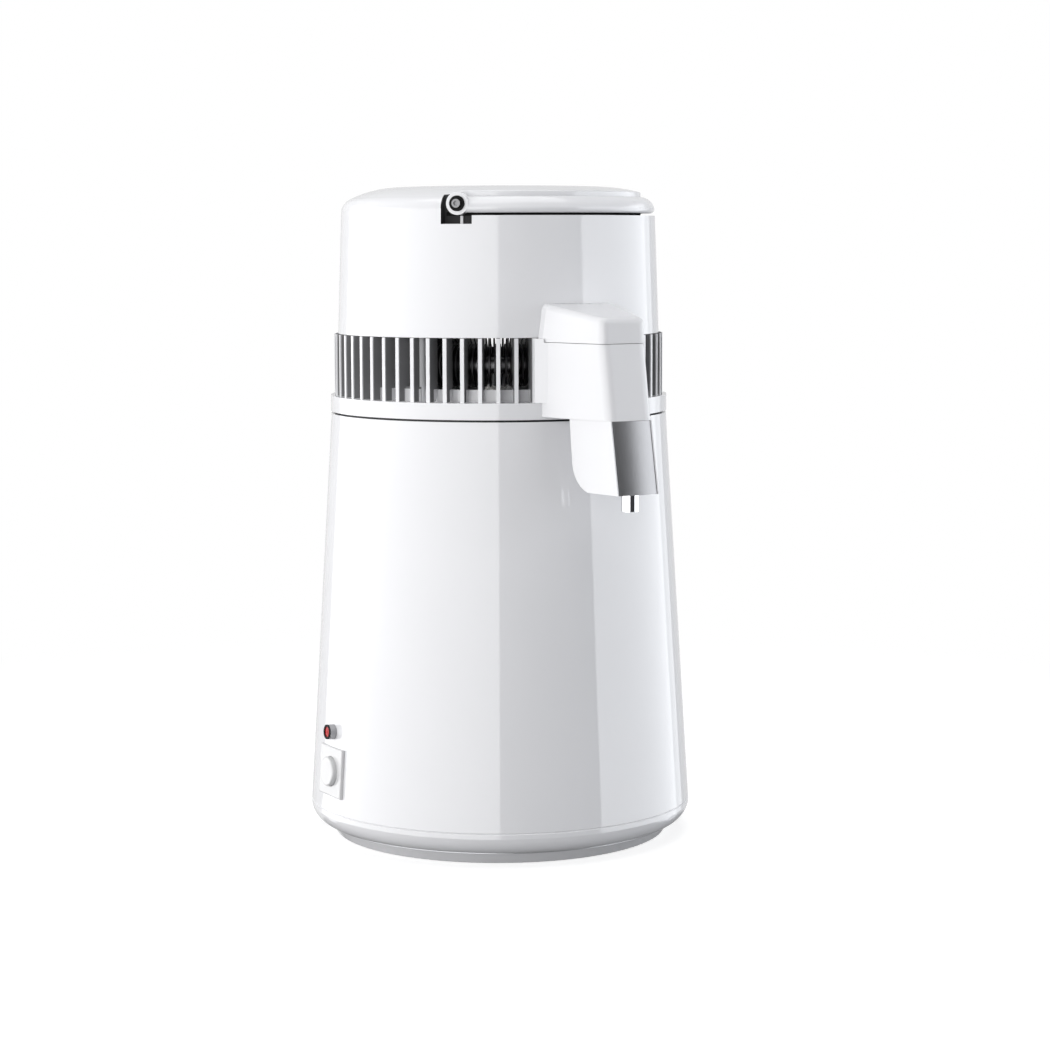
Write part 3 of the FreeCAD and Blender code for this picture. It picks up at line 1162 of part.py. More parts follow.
def add_shell_bosses(shell):
    tie = "(post_angle - pivot_angle)"
    spot = (f"post_circle*cos({tie})", f"post_circle*sin({tie})")
    boss = primitive(shell, "AdditiveCylinder", (*spot, COLLAR_TOP), Radius="tie_boss_radius",
                     Height="tie_boss_height")
    around(shell, boss, 4)
    hole = primitive(shell, "SubtractiveCylinder", (*spot, f"{COLLAR_TOP} - 1"),
                     Radius="tie_screw_radius + seat_clearance/2", Height="tie_boss_height")
    around(shell, hole, 4)
    spot = ("bracket_circle*cos(45)", "bracket_circle*sin(45)")
    under = f"({BRACKET} + bracket_thickness)"
    boss = primitive(shell, "AdditiveCylinder", (*spot, under), Radius="bracket_boss_radius",
                     Height=f"{shoulder_level('(bracket_circle + bracket_boss_radius)')} - {under} - 1")
    around(shell, boss, 4)
    hole = primitive(shell, "SubtractiveCylinder", (*spot, f"{under} - 1"),
                     Radius="small_screw_radius + seat_clearance/2", Height="12")
    around(shell, hole, 4)
    for side in (-1, 1):
        way = toward(0, side)
        primitive(shell, "AdditiveCylinder",
                  ("0", f"{side}*(dome_wall_radius - shell_thickness/2 - pivot_boss_length)", PIVOT), way,
                  Radius="pivot_boss_radius", Height="pivot_boss_length")
        primitive(shell, "SubtractiveCylinder", ("0", f"{side}*(lug_outer - pivot_screw_length)", PIVOT), way,
                  Radius="pivot_screw_radius + seat_clearance/2", Height="30")
        inner = "dome_wall_radius - 1" if side == 1 else "-dome_wall_radius - 1"
        primitive(shell, "AdditiveBox", ("-1.5", inner, f"{NOTCH} - 0.5"),
                  Length="1.5", Width="2", Height=f"{PIVOT} - lug_radius - {NOTCH}")


def cut_top_opening(shell):
    primitive(shell, "SubtractiveCylinder", ("0", "0", f"{TOP} - 5"), Radius="guard_hole", Height="10")
    primitive(shell, "SubtractiveCylinder", ("0", "0", f"{TOP} - guard_rim"),
              Radius="guard_radius + guard_gap", Height="10")
    turn = math.radians(90 - num("pivot_angle"))
    across, along = math.cos(turn), math.sin(turn)
    primitive(shell, "SubtractiveCylinder",
              (f"70*{across:.6f}", f"70*{along:.6f}", f"{SHELL} + gland_height"), toward(across, along),
              Radius="gland_radius - 1.5 + seat_clearance", Height="40")


def make_gland():
    level = f"({SHELL} + gland_height)"
    outside = side_radius(level)
    gland = body("fan_lead_gland")
    primitive(gland, "AdditiveCylinder", ("0", f"{outside} - shell_thickness - 4", level), toward(0, 1),
              Radius="gland_radius - 1.5", Height="shell_thickness + 8")
    primitive(gland, "AdditiveCone", ("0", f"{outside} + 0.4", level), toward(0, 1),
              Radius1="gland_radius", Radius2="gland_radius - 1.2", Height="4.5")
    primitive(gland, "SubtractiveCylinder", ("0", f"{outside} - 20", level), toward(0, 1),
              Radius="2", Height="40")


# ---------------------------------------------------------------- head: handle
def make_handle():
    """Made with its pivots along Y and its middle towards +X, then turned into place."""
    handle = body("handle")
    wide, _, meet_radius, meet_height = big_arc("0")
    under = f"({SHELL} + handle_lift)"
    rise = f"({under} + handle_edge - {SHOULDER})"
    shift = f"sqrt((shoulder_arc - handle_edge)^2 - {rise}^2)"
    part = "(shoulder_arc/(shoulder_arc - handle_edge))"
    middle = "(shell_side_radius - shoulder_arc)"
    spin(handle, [
        ("handle_radius", under), (f"({middle} + {shift})", under, "handle_edge"),
        (f"({middle} + {part}*{shift})", f"({SHOULDER} + {part}*{rise})", "shoulder_arc"),
        (meet_radius, meet_height, wide),
        ("handle_radius + handle_crest", shoulder_level("(handle_radius + handle_crest)"), "handle_crest"),
        ("handle_radius", f"{shoulder_level('handle_radius')} - 0.75*handle_crest")], angle="180")
    for side in (-1, 1):
        foot = f"{side}*lug_inner"
        primitive(handle, "AdditiveCylinder", ("0", foot, PIVOT), toward(0, side),
                  Radius="lug_radius", Height="lug_outer - lug_inner")
    for side in (-1, 1):
        primitive(handle, "SubtractiveCylinder", ("0", f"{side}*(lug_inner - 2)", PIVOT), toward(0, side),
                  Radius="bush_radius + pivot_fit", Height="20")
        primitive(handle, "SubtractiveBox", ("-10", f"{side}*lug_outer + ({side} - 1)*5", f"{PIVOT} - 12"),
                  Length="10 + lug_radius", Width="10", Height="24")
    handle.Placement = Placement(Vector(), Rotation(Vector(0, 0, 1), num("pivot_angle - 180")))
    handle.setExpression("Placement.Rotation.Angle", ex("pivot_angle - 180"))


def pivot_places():
    """The two pivots, each with Z outwards along the hinge line."""
    places = []
    for side in (-1, 1):
        turn = math.radians(num("pivot_angle") + side * 90)
        way = Vector(math.cos(turn), math.sin(turn), 0)
        places.append(Placement(Vector(0, 0, num(PIVOT)), Rotation(Vector(0, 0, 1), way)))
    return places


def make_pivots():
    bore = num("pivot_screw_radius + seat_clearance/2")
    outer, inner = num("lug_outer + pivot_fit"), num("dome_wall_radius + pivot_fit")
    bush = Part.makeCylinder(num("bush_radius"), outer - inner + num("bush_flange"), Vector(0, 0, inner))
    bush = bush.fuse(Part.makeCylinder(num("bush_flange_radius"), num("bush_flange"), Vector(0, 0, outer)))
    bush = bush.cut(Part.makeCylinder(bore, 40, Vector(0, 0, inner - 10))).removeSplitter()
    solid("pivot_bushes", copies(bush, pivot_places()))
    screw = screw_shape("pivot_screw_radius", "pivot_screw_length - 1", "pivot_screw_head",
                        "pivot_screw_head_height", num("socket_radius"))
    screw.rotate(Vector(), Vector(1, 0, 0), 180)
    screw.translate(Vector(0, 0, outer + num("bush_flange")))
    solid("pivot_screws", copies(screw, pivot_places()))


# ---------------------------------------------------------------- head: fan
def make_guard():
    """A rim with five rings on three bars."""
    level, depth, rim = num(TOP), num("guard_depth"), num("guard_rim")
    hole = num("guard_hole - guard_gap")
    shape = Part.makeCylinder(num("guard_radius"), rim, Vector(0, 0, level - rim))
    shape = shape.cut(Part.makeCylinder(hole - 3, rim, Vector(0, 0, level - rim)))
    step = (hole - 14) / 5
    for index in range(5):
        outer = hole - index * step
        ring = Part.makeCylinder(outer, depth, Vector(0, 0, level - depth))
        shape = shape.fuse(ring.cut(Part.makeCylinder(outer - 3, depth, Vector(0, 0, level - depth))))
    shape = shape.fuse(Part.makeCylinder(12, depth, Vector(0, 0, level - depth)))
    for index in range(3):
        bar = Part.makeBox(2 * hole - 4, 3, depth, Vector(2 - hole, -1.5, level - depth))
        bar.rotate(Vector(), Vector(0, 0, 1), 60 * index)
        shape = shape.fuse(bar)
    solid("fan_guard", shape.removeSplitter())


def make_motor():
    bracket = body("motor_bracket")
    reach = "(bracket_circle + bracket_boss_radius)"
    for size_x, size_y in ((f"2*{reach}", "bracket_width"), ("bracket_width", f"2*{reach}")):
        primitive(bracket, "AdditiveBox", (f"-{size_x}/2", f"-{size_y}/2", BRACKET),
                  Length=size_x, Width=size_y, Height="bracket_thickness")
    primitive(bracket, "AdditiveCylinder", ("0", "0", BRACKET), Radius="bracket_hub", Height="bracket_thickness")
    primitive(bracket, "SubtractiveCylinder", ("0", "0", f"{BRACKET} - 1"), Radius="fan_shaft_radius + 2",
              Height="bracket_thickness + 2")
    for circle_radius in ("bracket_circle", "motor_screw_circle"):
        hole = primitive(bracket, "SubtractiveCylinder", (circle_radius, "0", f"{BRACKET} - 1"),
                         Radius="small_screw_radius + seat_clearance", Height="bracket_thickness + 2")
        around(bracket, hole, 4)
    bracket.Placement = Placement(Vector(), Rotation(Vector(0, 0, 1), num("pivot_angle + 45")))
    bracket.setExpression("Placement.Rotation.Angle", ex("pivot_angle + 45"))
    bore = "(fan_shaft_radius + fan_fit)"
    motor = turned("fan_motor", [
        (bore, MOTOR), ("10", MOTOR), ("10", f"{MOTOR} + 3"), ("motor_radius - 3", f"{MOTOR} + 3"),
        ("motor_radius", f"{MOTOR} + 6"), ("motor_radius", f"{BRACKET} - 5"), ("motor_radius - 4", BRACKET),
        (bore, BRACKET)])
    turn = math.radians(num("pivot_angle + 45"))
    hole = primitive(motor, "SubtractiveCylinder",
                     (f"motor_screw_circle*{math.cos(turn):.6f}", f"motor_screw_circle*{math.sin(turn):.6f}",
                      f"{BRACKET} - 8"), Radius="small_screw_radius + seat_clearance/2", Height="10")
    around(motor, hole, 4)
    make_bracket_screws()


def make_bracket_screws():
    up = screw_shape("small_screw_radius", "bracket_thickness + 9", "small_screw_head",
                     "small_screw_head_height", 1.2)
    under = Vector(0, 0, num(BRACKET))
    places = [Placement(spot + under, Rotation())
              for spot in ring_spots("bracket_circle", "pivot_angle + 45", 4)]
    solid("bracket_screws", copies(up, places))
    down = screw_shape("small_screw_radius", "bracket_thickness + 6", "small_screw_head",
                       "small_screw_head_height", 1.2)
    down.rotate(Vector(), Vector(1, 0, 0), 180)
    over = Vector(0, 0, num(f"{BRACKET} + bracket_thickness"))
    places = [Placement(spot + over, Rotation())
              for spot in ring_spots("motor_screw_circle", "pivot_angle + 45", 4)]
    solid("motor_screws", copies(down, places))


def blade_section(radius, chord, pitch):
    """A thin rectangle across a blade at a radius, pitched about the radius."""
    half, thick = chord / 2, num("fan_blade_thickness") / 2
    corners = [Vector(radius, -half, -thick), Vector(radius, half, -thick), Vector(radius, half, thick),
               Vector(radius, -half, thick)]
    wire = Part.makePolygon(corners + corners[:1])
    wire.rotate(Vector(radius, 0, 0), Vector(1, 0, 0), pitch)
    return wire


def make_fan():
    middle = num(f"{HUB} + fan_hub_height/2")
    hub = Part.makeCylinder(num("fan_hub_radius"), num("fan_hub_height"), Vector(0, 0, num(HUB)))
    root = blade_section(num("fan_hub_radius") - 2, num("fan_root_chord"), num("fan_root_pitch"))
    tip = blade_section(num("fan_radius"), num("fan_tip_chord"), num("fan_tip_pitch"))
    blade = Part.makeLoft([root, tip], True, True)
    blade.translate(Vector(0, 0, middle))
    for index in range(int(num("fan_blades"))):
        copy = blade.copy()
        copy.rotate(Vector(), Vector(0, 0, 1), 360 * index / num("fan_blades"))
        hub = hub.fuse(copy)
    hub = hub.cut(Part.makeCylinder(num("fan_shaft_radius + seat_clearance/4"), 60, Vector(0, 0, num(HUB) - 20)))
    solid("fan_rotor", hub)
    low = f"({HUB} - fan_nut_height - 1)"
    turned("fan_shaft", [("0", low), ("fan_shaft_radius", low), ("fan_shaft_radius", f"{BRACKET} + 1"),
                         ("0", f"{BRACKET} + 1")])
    nut = hexagon_nut(num("fan_nut_radius"), num("fan_nut_height"), num("fan_shaft_radius + seat_clearance/4"))
    nut.translate(Vector(0, 0, num(f"{HUB} - fan_nut_height")))
    solid("fan_nut", nut)


# ---------------------------------------------------------------- spout
def plan_section(owner, height, corners):
    """A plan outline at a height. Corners are (half width, distance from the axis), back to front."""
    sketch = sketch_on(owner, "XY_Plane", height)
    left = [(f"-({half})", f"-({distance})") for half, distance in corners]
    right = [(half, f"-({distance})") for half, distance in reversed(corners)]
    outline(sketch, left + right)
    return sketch


def rounded_section(owner, height, back, root, front, radius):
    """A plan outline whose two front corners are rounded. Each corner is (half width, distance)."""
    across = f"({root[0]} - {front[0]})"
    along = f"({front[1]} - {root[1]})"
    side = f"sqrt({across}^2 + {along}^2)"
    reach = f"(({radius})*sqrt(({side} - {across})/({side} + {across})))"
    enter = (f"({front[0]} + {reach}*{across}/{side})", f"({front[1]} - {reach}*{along}/{side})")
    leave = (f"({front[0]} - {reach})", front[1])
    sketch = sketch_on(owner, "XY_Plane", height)
    outline(sketch, [
        (f"-{back[0]}", f"-{back[1]}"), (f"-{root[0]}", f"-{root[1]}"),
        (f"-{enter[0]}", f"-{enter[1]}", radius),
        (f"-{leave[0]}", f"-{leave[1]}"), (leave[0], f"-{leave[1]}", radius), (enter[0], f"-{enter[1]}"),
        (root[0], f"-{root[1]}"), (back[0], f"-{back[1]}")])
    return sketch


def loft(owner, sections, cut=False):
    made = owner.newObject("PartDesign::SubtractiveLoft" if cut else "PartDesign::AdditiveLoft", "loft")
    made.Profile = sections[0]
    made.Sections = sections[1:]
    made.Ruled = True
    return made


def spout_front(height):
    """Distance of the spout's leaning front at a height."""
    return f"(spout_front_low + ({height} - {SPOUT})*(spout_front_high - spout_front_low)/spout_height)"


def make_spout_body():
    spout = body("spout_body")

    def plan(height, inset):
        half = f"(spout_root_half - {inset})"
        front = (f"(spout_front_half - 0.8*{inset})", f"({spout_front(height)} - {inset})")
        return rounded_section(
            spout, height, (half, f"(spout_back + {inset})"),
            (half, f"(spout_back + spout_straight + {inset}/4)"), front, f"spout_corner - {inset}")

    floor = f"({SPOUT} + spout_floor)"
    loft(spout, [plan(SPOUT, "0"), plan(SPOUT_TOP, "0")])
    add_flange(spout)
    loft(spout, [plan(floor, "spout_wall"), plan(f"({SPOUT_TOP} + 1)", "spout_wall")], cut=True)
    primitive(spout, "SubtractiveCylinder", ("0", "0", f"{SPOUT} - 1"),
              Radius="ring_radius + seat_clearance", Height=f"{RING_TOP} - {SPOUT} + 1 + seat_clearance")
    primitive(spout, "SubtractiveCylinder", ("0", "-spout_back - 5", COIL), toward(0, 1),
              Radius="grommet_radius + seat_clearance/2", Height="10")
    for side in (-1, 1):
        for rise in ("spout_screw_low", "spout_screw_high"):
            primitive(spout, "SubtractiveCylinder",
                      (f"{side}*spout_screw_half", "-spout_back - 5", f"{RING_TOP} + {rise}"), toward(0, 1),
                      Radius="small_screw_radius + seat_clearance/2", Height="10")
        primitive(spout, "SubtractiveCylinder",
                  (f"{side}*shroud_screw_half", "-shroud_screw_distance", f"{SPOUT} - 1"),
                  Radius="small_screw_radius + seat_clearance", Height="spout_floor + 2")
    drill_outlet(spout)


def add_flange(spout):
    """A wedge on each side that lies on the louvre band; its upper strip keeps clear of the lid."""
    bore = "(louvre_radius + spout_clearance)"
    edge = f"(sqrt({bore}^2 - flange_half^2) + flange_thickness)"
    tip = "(spout_back + spout_straight + flange_reach)"
    slant = f"(({tip} - {edge})/(flange_half - (spout_root_half - 1.5)))"
    foot = f"({RING_TOP} + seat_clearance)"
    for near, top in (("(spout_root_half - 1.5)", SPOUT_TOP),
                      ("(spout_root_half + spout_clearance)", f"({SHELL} - spout_clearance)")):
        for side in (-1, 1):
            wing = sketch_on(spout, "XY_Plane", foot)
            outline(wing, [
                (f"{side}*{near}", f"-({edge} + (flange_half - {near})*{slant})"),
                (f"{side}*flange_half", f"-{edge}"),
                (f"{side}*flange_half", f"-sqrt({bore}^2 - flange_half^2)", f"{-side}*{bore}"),
                (f"{side}*{near}", f"-sqrt({bore}^2 - {near}^2)")])
            raise_outline(spout, wing, f"{top} - {foot}")


def outlet_turn():
    """The direction of the leaning part of the outlet tube."""
    lean = math.radians(num("outlet_lean"))
    return Vector(0, math.sin(lean), math.cos(lean))


def drill_outlet(owner):
    """A hole along the leaning part of the outlet tube."""
    foot = ("0", "-outlet_distance + outlet_bend*(1 - cos(outlet_lean)) - 6*sin(outlet_lean)",
            f"{SHROUD_FOOT} + outlet_straight + outlet_bend*sin(outlet_lean) - 6*cos(outlet_lean)")
    way = outlet_turn()
    primitive(owner, "SubtractiveCylinder", foot, toward(way.x, way.y, way.z),
              Radius="outlet_radius + outlet_step + 2*seat_clearance", Height="shroud_height + 20")


def make_spout_lid():
    lid = body("spout_lid")
    top = f"({LID} + lid_height)"

    def plan(height, half, front, inset):
        half = f"({half} - {inset})"
        return rounded_section(
            lid, height, (half, "(spout_back - 4)"), (half, f"(spout_back + spout_straight + {inset}/4)"),
            (f"(spout_front_half - 0.8*{inset})", f"({front} - {inset})"), f"lid_corner - {inset}")

    loft(lid, [plan(LID, "spout_root_half", "spout_front_high", "0"),
               plan(f"({top} + 2)", "lid_top_half", "lid_front_top", "0")])
    root = "(spout_back + 3)"
    fall = f"(lid_front_drop/(lid_front_top - {root}))"
    slope = sketch_on(lid, "YZ_Plane")
    outline(slope, [("-lid_front_top - 5", f"{top} - lid_front_drop - 5*{fall}"),
                    (f"10 - {root}", f"{top} + 10*{fall}"), (f"10 - {root}", f"{top} + 8"),
                    ("-lid_front_top - 5", f"{top} + 8")])
    raise_outline(lid, slope, "4*spout_root_half", cut=True, even=True)
    round_top(lid, "lid_edge")
    low = f"({LID} - 1)"
    roof = f"({top} - lid_front_drop - lid_wall)"
    loft(lid, [plan(low, "spout_root_half", "spout_front_high", "lid_wall"),
               plan(roof, "lid_top_half", "lid_front_top", "lid_wall")], cut=True)
    primitive(lid, "SubtractiveCone", ("0", "0", SHELL),
                     Radius1="shell_foot_radius + spout_clearance",
                     Radius2="shell_side_radius + spout_clearance",
                     Height="shoulder_height")
    primitive(lid, "SubtractiveCylinder", ("0", "0", f"{LID} - 1"),
              Radius="shell_foot_radius + spout_clearance", Height=f"{SHELL} - {LID} + 1")


def shroud_front(height):
    """Distance of the shroud's leaning front at a height."""
    return f"(spout_front_low + ({SPOUT} - {height})*(shroud_front_low - spout_front_low)/shroud_height)"


def shroud_half(height, place):
    """Half width of the shroud at a height and a distance from the axis."""
    narrowing = f"((shroud_back_half - shroud_front_half)/({shroud_front(height)} - shroud_back))"
    return f"(shroud_back_half - ({place} - shroud_back)*{narrowing})"


def shroud_plan(owner, height, back, front, inset):
    return plan_section(owner, height, [
        (f"{shroud_half(height, place)} - {inset}", place) for place in (back, front)])


def make_shroud():
    shroud = body("spout_shroud")
    wall = "shroud_wall"
    bend_level = f"({SHROUD_FOOT} + shroud_sweep_height)"
    fall = "((shroud_back_low - shroud_back)/(shroud_height - shroud_sweep_height))"
    loft(shroud, [
        shroud_plan(shroud, height, f"(shroud_back + ({SPOUT} - {height})*{fall})", shroud_front(height), "0")
        for height in (SPOUT, SHROUD_FOOT)])
    sweep_end = "(shroud_back + shroud_sweep_length)"
    side = sketch_on(shroud, "YZ_Plane")
    outline(side, [
        ("-shroud_back_low", bend_level, "-shroud_sweep_arc"), (f"-{sweep_end}", SHROUD_FOOT),
        (f"-{sweep_end}", f"{SHROUD_FOOT} - 2"), ("-shroud_back + 2", f"{SHROUD_FOOT} - 2"),
        ("-shroud_back + 2", bend_level)])
    raise_outline(shroud, side, "4*shroud_back_half", cut=True, even=True)
    hollow_shroud(shroud, bend_level, sweep_end, wall)
    recess = []
    for height in (f"({SPOUT} + 1)", f"({SHROUD_FOOT} - 1)"):
        places = [f"({shroud_front(height)} - {depth})"
                  for depth in ("(trim_edge + trim_thickness + trim_gap)", "(-1)")]
        recess.append(plan_section(shroud, height, [
            (f"{shroud_half(height, place)} - trim_rim", place) for place in places]))
    loft(shroud, recess, cut=True)
    for edge in (-1, 1):
        primitive(shroud, "SubtractiveCylinder",
                  (f"{edge}*shroud_screw_half", "-shroud_screw_distance", f"{SPOUT} - 3"),
                  Radius="small_screw_radius + seat_clearance/2", Height="4")
    drill_outlet(shroud)


def hollow_shroud(shroud, bend_level, sweep_end, wall):
    """Two lofts that meet where the rounded back starts."""
    def plan(height, back):
        front = f"({shroud_front(height)} - trim_edge - trim_thickness - trim_gap - {wall})"
        return shroud_plan(shroud, height, f"({back} + {wall})", front, wall)

    loft(shroud, [plan(f"({SPOUT} - 2)", "shroud_back"), plan(bend_level, "shroud_back_low")], cut=True)
    loft(shroud, [plan(bend_level, "shroud_back_low"), plan(f"({SHROUD_FOOT} - 1)", sweep_end)], cut=True)


def make_trim():
    """The bright plate down the shroud's front, slightly round across."""
    trim = body("spout_trim")

    def plan(height):
        front = f"({shroud_front(height)} - trim_edge)"
        half = f"({shroud_half(height, front)} - trim_rim - trim_gap)"
        arc = f"(({half}^2 + trim_bulge^2)/(2*trim_bulge))"
        sketch = sketch_on(trim, "XY_Plane", height)
        outline(sketch, [
            (f"-{half}", f"-({front} - trim_thickness)"), (f"-{half}", f"-{front}", arc), (half, f"-{front}"),
            (half, f"-({front} - trim_thickness)")])
        return sketch

    loft(trim, [plan(f"({SPOUT} - seat_clearance)"), plan(SHROUD_FOOT)])


def outlet_shape(radius):
    """The outlet's outer or inner form: upright end, bend and leaning part."""
    foot = Vector(0, -num("outlet_distance"), num(f"{SHROUD_FOOT} - outlet_exposed"))
    rise = Vector(0, -num("outlet_distance"), num(f"{SHROUD_FOOT} + outlet_straight"))
    bend, lean = num("outlet_bend"), math.radians(num("outlet_lean"))

    def on_bend(angle):
        return rise + Vector(0, bend * (1 - math.cos(angle)), bend * math.sin(angle))

    elbow = on_bend(lean)
    top = num(f"{SPOUT} + spout_floor + 1.5")
    end = elbow + outlet_turn() * ((top - elbow.z) / outlet_turn().z)
    path = Part.Wire([
        Part.LineSegment(foot, rise).toShape(), Part.Arc(rise, on_bend(lean / 2), elbow).toShape(),
        Part.LineSegment(elbow, end).toShape()])
    return tube_shape(path, foot, Vector(0, 0, 1), radius, 0)


def make_outlet():
    step, radius = num("outlet_step"), num("outlet_radius")
    exposed = num("outlet_exposed - 0.3")
    foot = Vector(0, -num("outlet_distance"), num(f"{SHROUD_FOOT} - outlet_exposed"))
    tube = outlet_shape(radius + step)
    collar = Part.makeCylinder(radius + step + 1, exposed, foot)
    tube = tube.cut(collar.cut(Part.makeCylinder(radius, exposed, foot)))
    solid("outlet_tube", tube.cut(outlet_shape(num("outlet_bore"))))


def make_filter():
    floor = f"({SPOUT} + spout_floor)"
    foot = f"({floor} + seat_clearance)"
    top = f"({foot} + cup_height)"
    cup = body("filter_cup")
    inner = "(cup_radius - cup_wall)"
    spin(cup, [
        ("0", foot), ("cup_radius", foot), ("cup_radius", f"{top} - cup_wall"),
        ("cup_radius + cup_lip", f"{top} - cup_wall"), ("cup_radius + cup_lip", top), (inner, top),
        (inner, f"{foot} + cup_wall"), ("0", f"{foot} + cup_wall")])
    hole = primitive(cup, "SubtractiveCylinder", ("cup_radius/2", "0", f"{foot} - 1"), Radius="1.2", Height="4")
    around(cup, hole, 6)
    cup.Placement = Placement(Vector(0, -num("cup_distance"), 0), Rotation())
    cup.setExpression("Placement.Base.y", ex("-cup_distance"))
    bed = turned("carbon_bed", [
        ("0", f"{foot} + cup_wall"), (f"{inner} - seat_clearance", f"{foot} + cup_wall"),
        (f"{inner} - seat_clearance", f"{top} - 3"), ("0", f"{top} - 3")])
    bed.Placement = Placement(Vector(0, -num("cup_distance"), 0), Rotation())
    bed.setExpression("Placement.Base.y", ex("-cup_distance"))


def make_spout_screws():
    screw = screw_shape("small_screw_radius", "seat_thickness + seat_gap + spout_wall - 0.2",
                        "small_screw_head", "small_screw_head_height", 1.2)
    seat = num("-spout_back + seat_gap + seat_thickness")
    level = {rise: num(f"{RING_TOP} + {rise}") for rise in ("spout_screw_low", "spout_screw_high")}
    places = [Placement(Vector(side * num("spout_screw_half"), seat, height), toward(0, -1))
              for side in (-1, 1) for height in level.values()]
    solid("spout_screws", copies(screw, places))
    short = screw_shape("small_screw_radius", "spout_floor + 1.6", "small_screw_head",
                        "small_screw_head_height", 1.2)
    short.rotate(Vector(), Vector(1, 0, 0), 180)
    places = [Placement(Vector(side * num("shroud_screw_half"), -num("shroud_screw_distance"),
                               num(f"{SPOUT} + spout_floor")), Rotation()) for side in (-1, 1)]
    solid("shroud_screws", copies(short, places))


# ---------------------------------------------------------------- build
for make in (make_plinth, make_feet, make_base_screws, make_base_plate, make_skirt, make_base_shell, make_tank,
             make_heater, make_terminal_block, make_control_plate, make_switch, make_lamp, make_inlet,
             make_fan_socket, make_vent_ring, make_tie_screws, make_steam_dome, make_condenser, make_grommet,
             make_head_shell, make_gland, make_handle, make_pivots, make_guard, make_motor, make_fan,
             make_spout_body, make_spout_lid, make_shroud, make_trim, make_outlet, make_filter,
             make_spout_screws):
    make()
doc.recompute()

faults = [f"{item.Label}: {item.State}" for item in doc.Objects if {"Invalid", "Error"} & set(item.State)]
for label, node in nodes.items():
    if node.Shape.isNull() or not node.Shape.isValid() or not node.Shape.Solids:
        faults.append(f"{label}: no valid solid")
if faults:
    raise RuntimeError("; ".join(faults))
for label, node in nodes.items():
    node.Shape.exportStep(f"parts/{label}.step")
    print(f"{label}: {len(node.Shape.Solids)} solid(s), {node.Shape.Volume / 1000:.2f} cm3")
print(len(nodes), "nodes")
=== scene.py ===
# %% [markdown]
# # A countertop water distiller
#
# The machine's solids come packed from CAD, already in their places. This lesson dresses them: it sets up a
# camera and a small white studio, and gives every solid a finish that has the fine structure of the real
# material. Everything is in metres, +Z is up, and the spout points along -Y.
#
# No solid is moved or reshaped here. Modifiers could round the shapes further, but the solids already have the
# radii and joints of the real pieces, so all of the work goes into light and material.

# %% Load the solids
import json
import math

import bpy
from mathutils import Matrix, Vector

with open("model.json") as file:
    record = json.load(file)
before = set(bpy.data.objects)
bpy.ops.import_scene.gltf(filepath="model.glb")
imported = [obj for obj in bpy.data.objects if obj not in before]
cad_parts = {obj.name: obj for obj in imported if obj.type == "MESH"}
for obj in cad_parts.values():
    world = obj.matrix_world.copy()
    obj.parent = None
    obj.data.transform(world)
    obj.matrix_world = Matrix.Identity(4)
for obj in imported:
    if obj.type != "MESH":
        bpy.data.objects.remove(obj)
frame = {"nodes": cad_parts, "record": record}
nodes = frame["nodes"]
scene = bpy.context.scene
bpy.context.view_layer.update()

# %% [markdown]
# ## Camera
#
# A long lens a metre and a half away keeps the machine's sides nearly parallel, as a catalogue picture does.
# The lens stands to the left of the spout and a little below the machine's top, and looks slightly down. A
# Track To constraint could aim it at an empty. Here the camera is turned by a matrix made of its own right, up
# and back directions instead, so that its place, its pitch and its roll are plain numbers, one for each.

# %% Camera
EYE_AZIMUTH = math.radians(-118.8)
EYE_DISTANCE = 1.5175
EYE_HEIGHT = 0.347
PITCH = math.radians(6.267)
ROLL = math.radians(-0.218)
SENSOR_WIDTH = 36
FOCAL_PIXELS = 2584.9
FRAME_PIXELS = 1050
AXIS_PIXEL = 499.1
CLIP_START, CLIP_END = 0.05, 50


def make_camera():
    """A camera at the eye's place, with a shift that puts the machine's axis on its own pixel column."""
    toward_eye = Vector((math.cos(EYE_AZIMUTH), math.sin(EYE_AZIMUTH), 0))
    back = toward_eye * math.cos(PITCH) + Vector((0, 0, math.sin(PITCH)))
    right = Vector((-toward_eye.y, toward_eye.x, 0))
    up = back.cross(right)
    turn = Matrix((right, up, back)).transposed() @ Matrix.Rotation(ROLL, 3, "Z")
    eye = toward_eye * EYE_DISTANCE + Vector((0, 0, EYE_HEIGHT))
    data = bpy.data.cameras.new("camera")
    data.sensor_width = SENSOR_WIDTH
    data.lens = SENSOR_WIDTH * FOCAL_PIXELS / FRAME_PIXELS
    data.shift_x = (FRAME_PIXELS / 2 - AXIS_PIXEL) / FRAME_PIXELS
    data.clip_start, data.clip_end = CLIP_START, CLIP_END
    camera = bpy.data.objects.new("camera", data)
    scene.collection.objects.link(camera)
    camera.matrix_world = Matrix.Translation(eye) @ turn.to_4x4()
    scene.camera = camera
    return camera


camera = make_camera()
print("lens", round(camera.data.lens, 2), "mm")

# %% [markdown]
# ## Studio
#
# The Standard view transform shows a colour about as it is written and softens nothing at the bright end. So the
# lamps stay low enough for the white paint to end just below full white. They could be spots or spheres, but
# only the straight edge of a rectangle gives a straight line in the gloss. A lamp is given here by its radiance,
# that is by how bright it looks, and its watts follow from its area: two lamps of different size then look alike
# in a reflection.

# %% Area lamps
scene.view_settings.view_transform = "Standard"
RADIANCE_TO_WATT = math.pi


def direction(turn):
    """A level unit vector, so many degrees to the right of the camera's side."""
    angle = EYE_AZIMUTH + math.radians(turn)
    return Vector((math.cos(angle), math.sin(angle), 0))


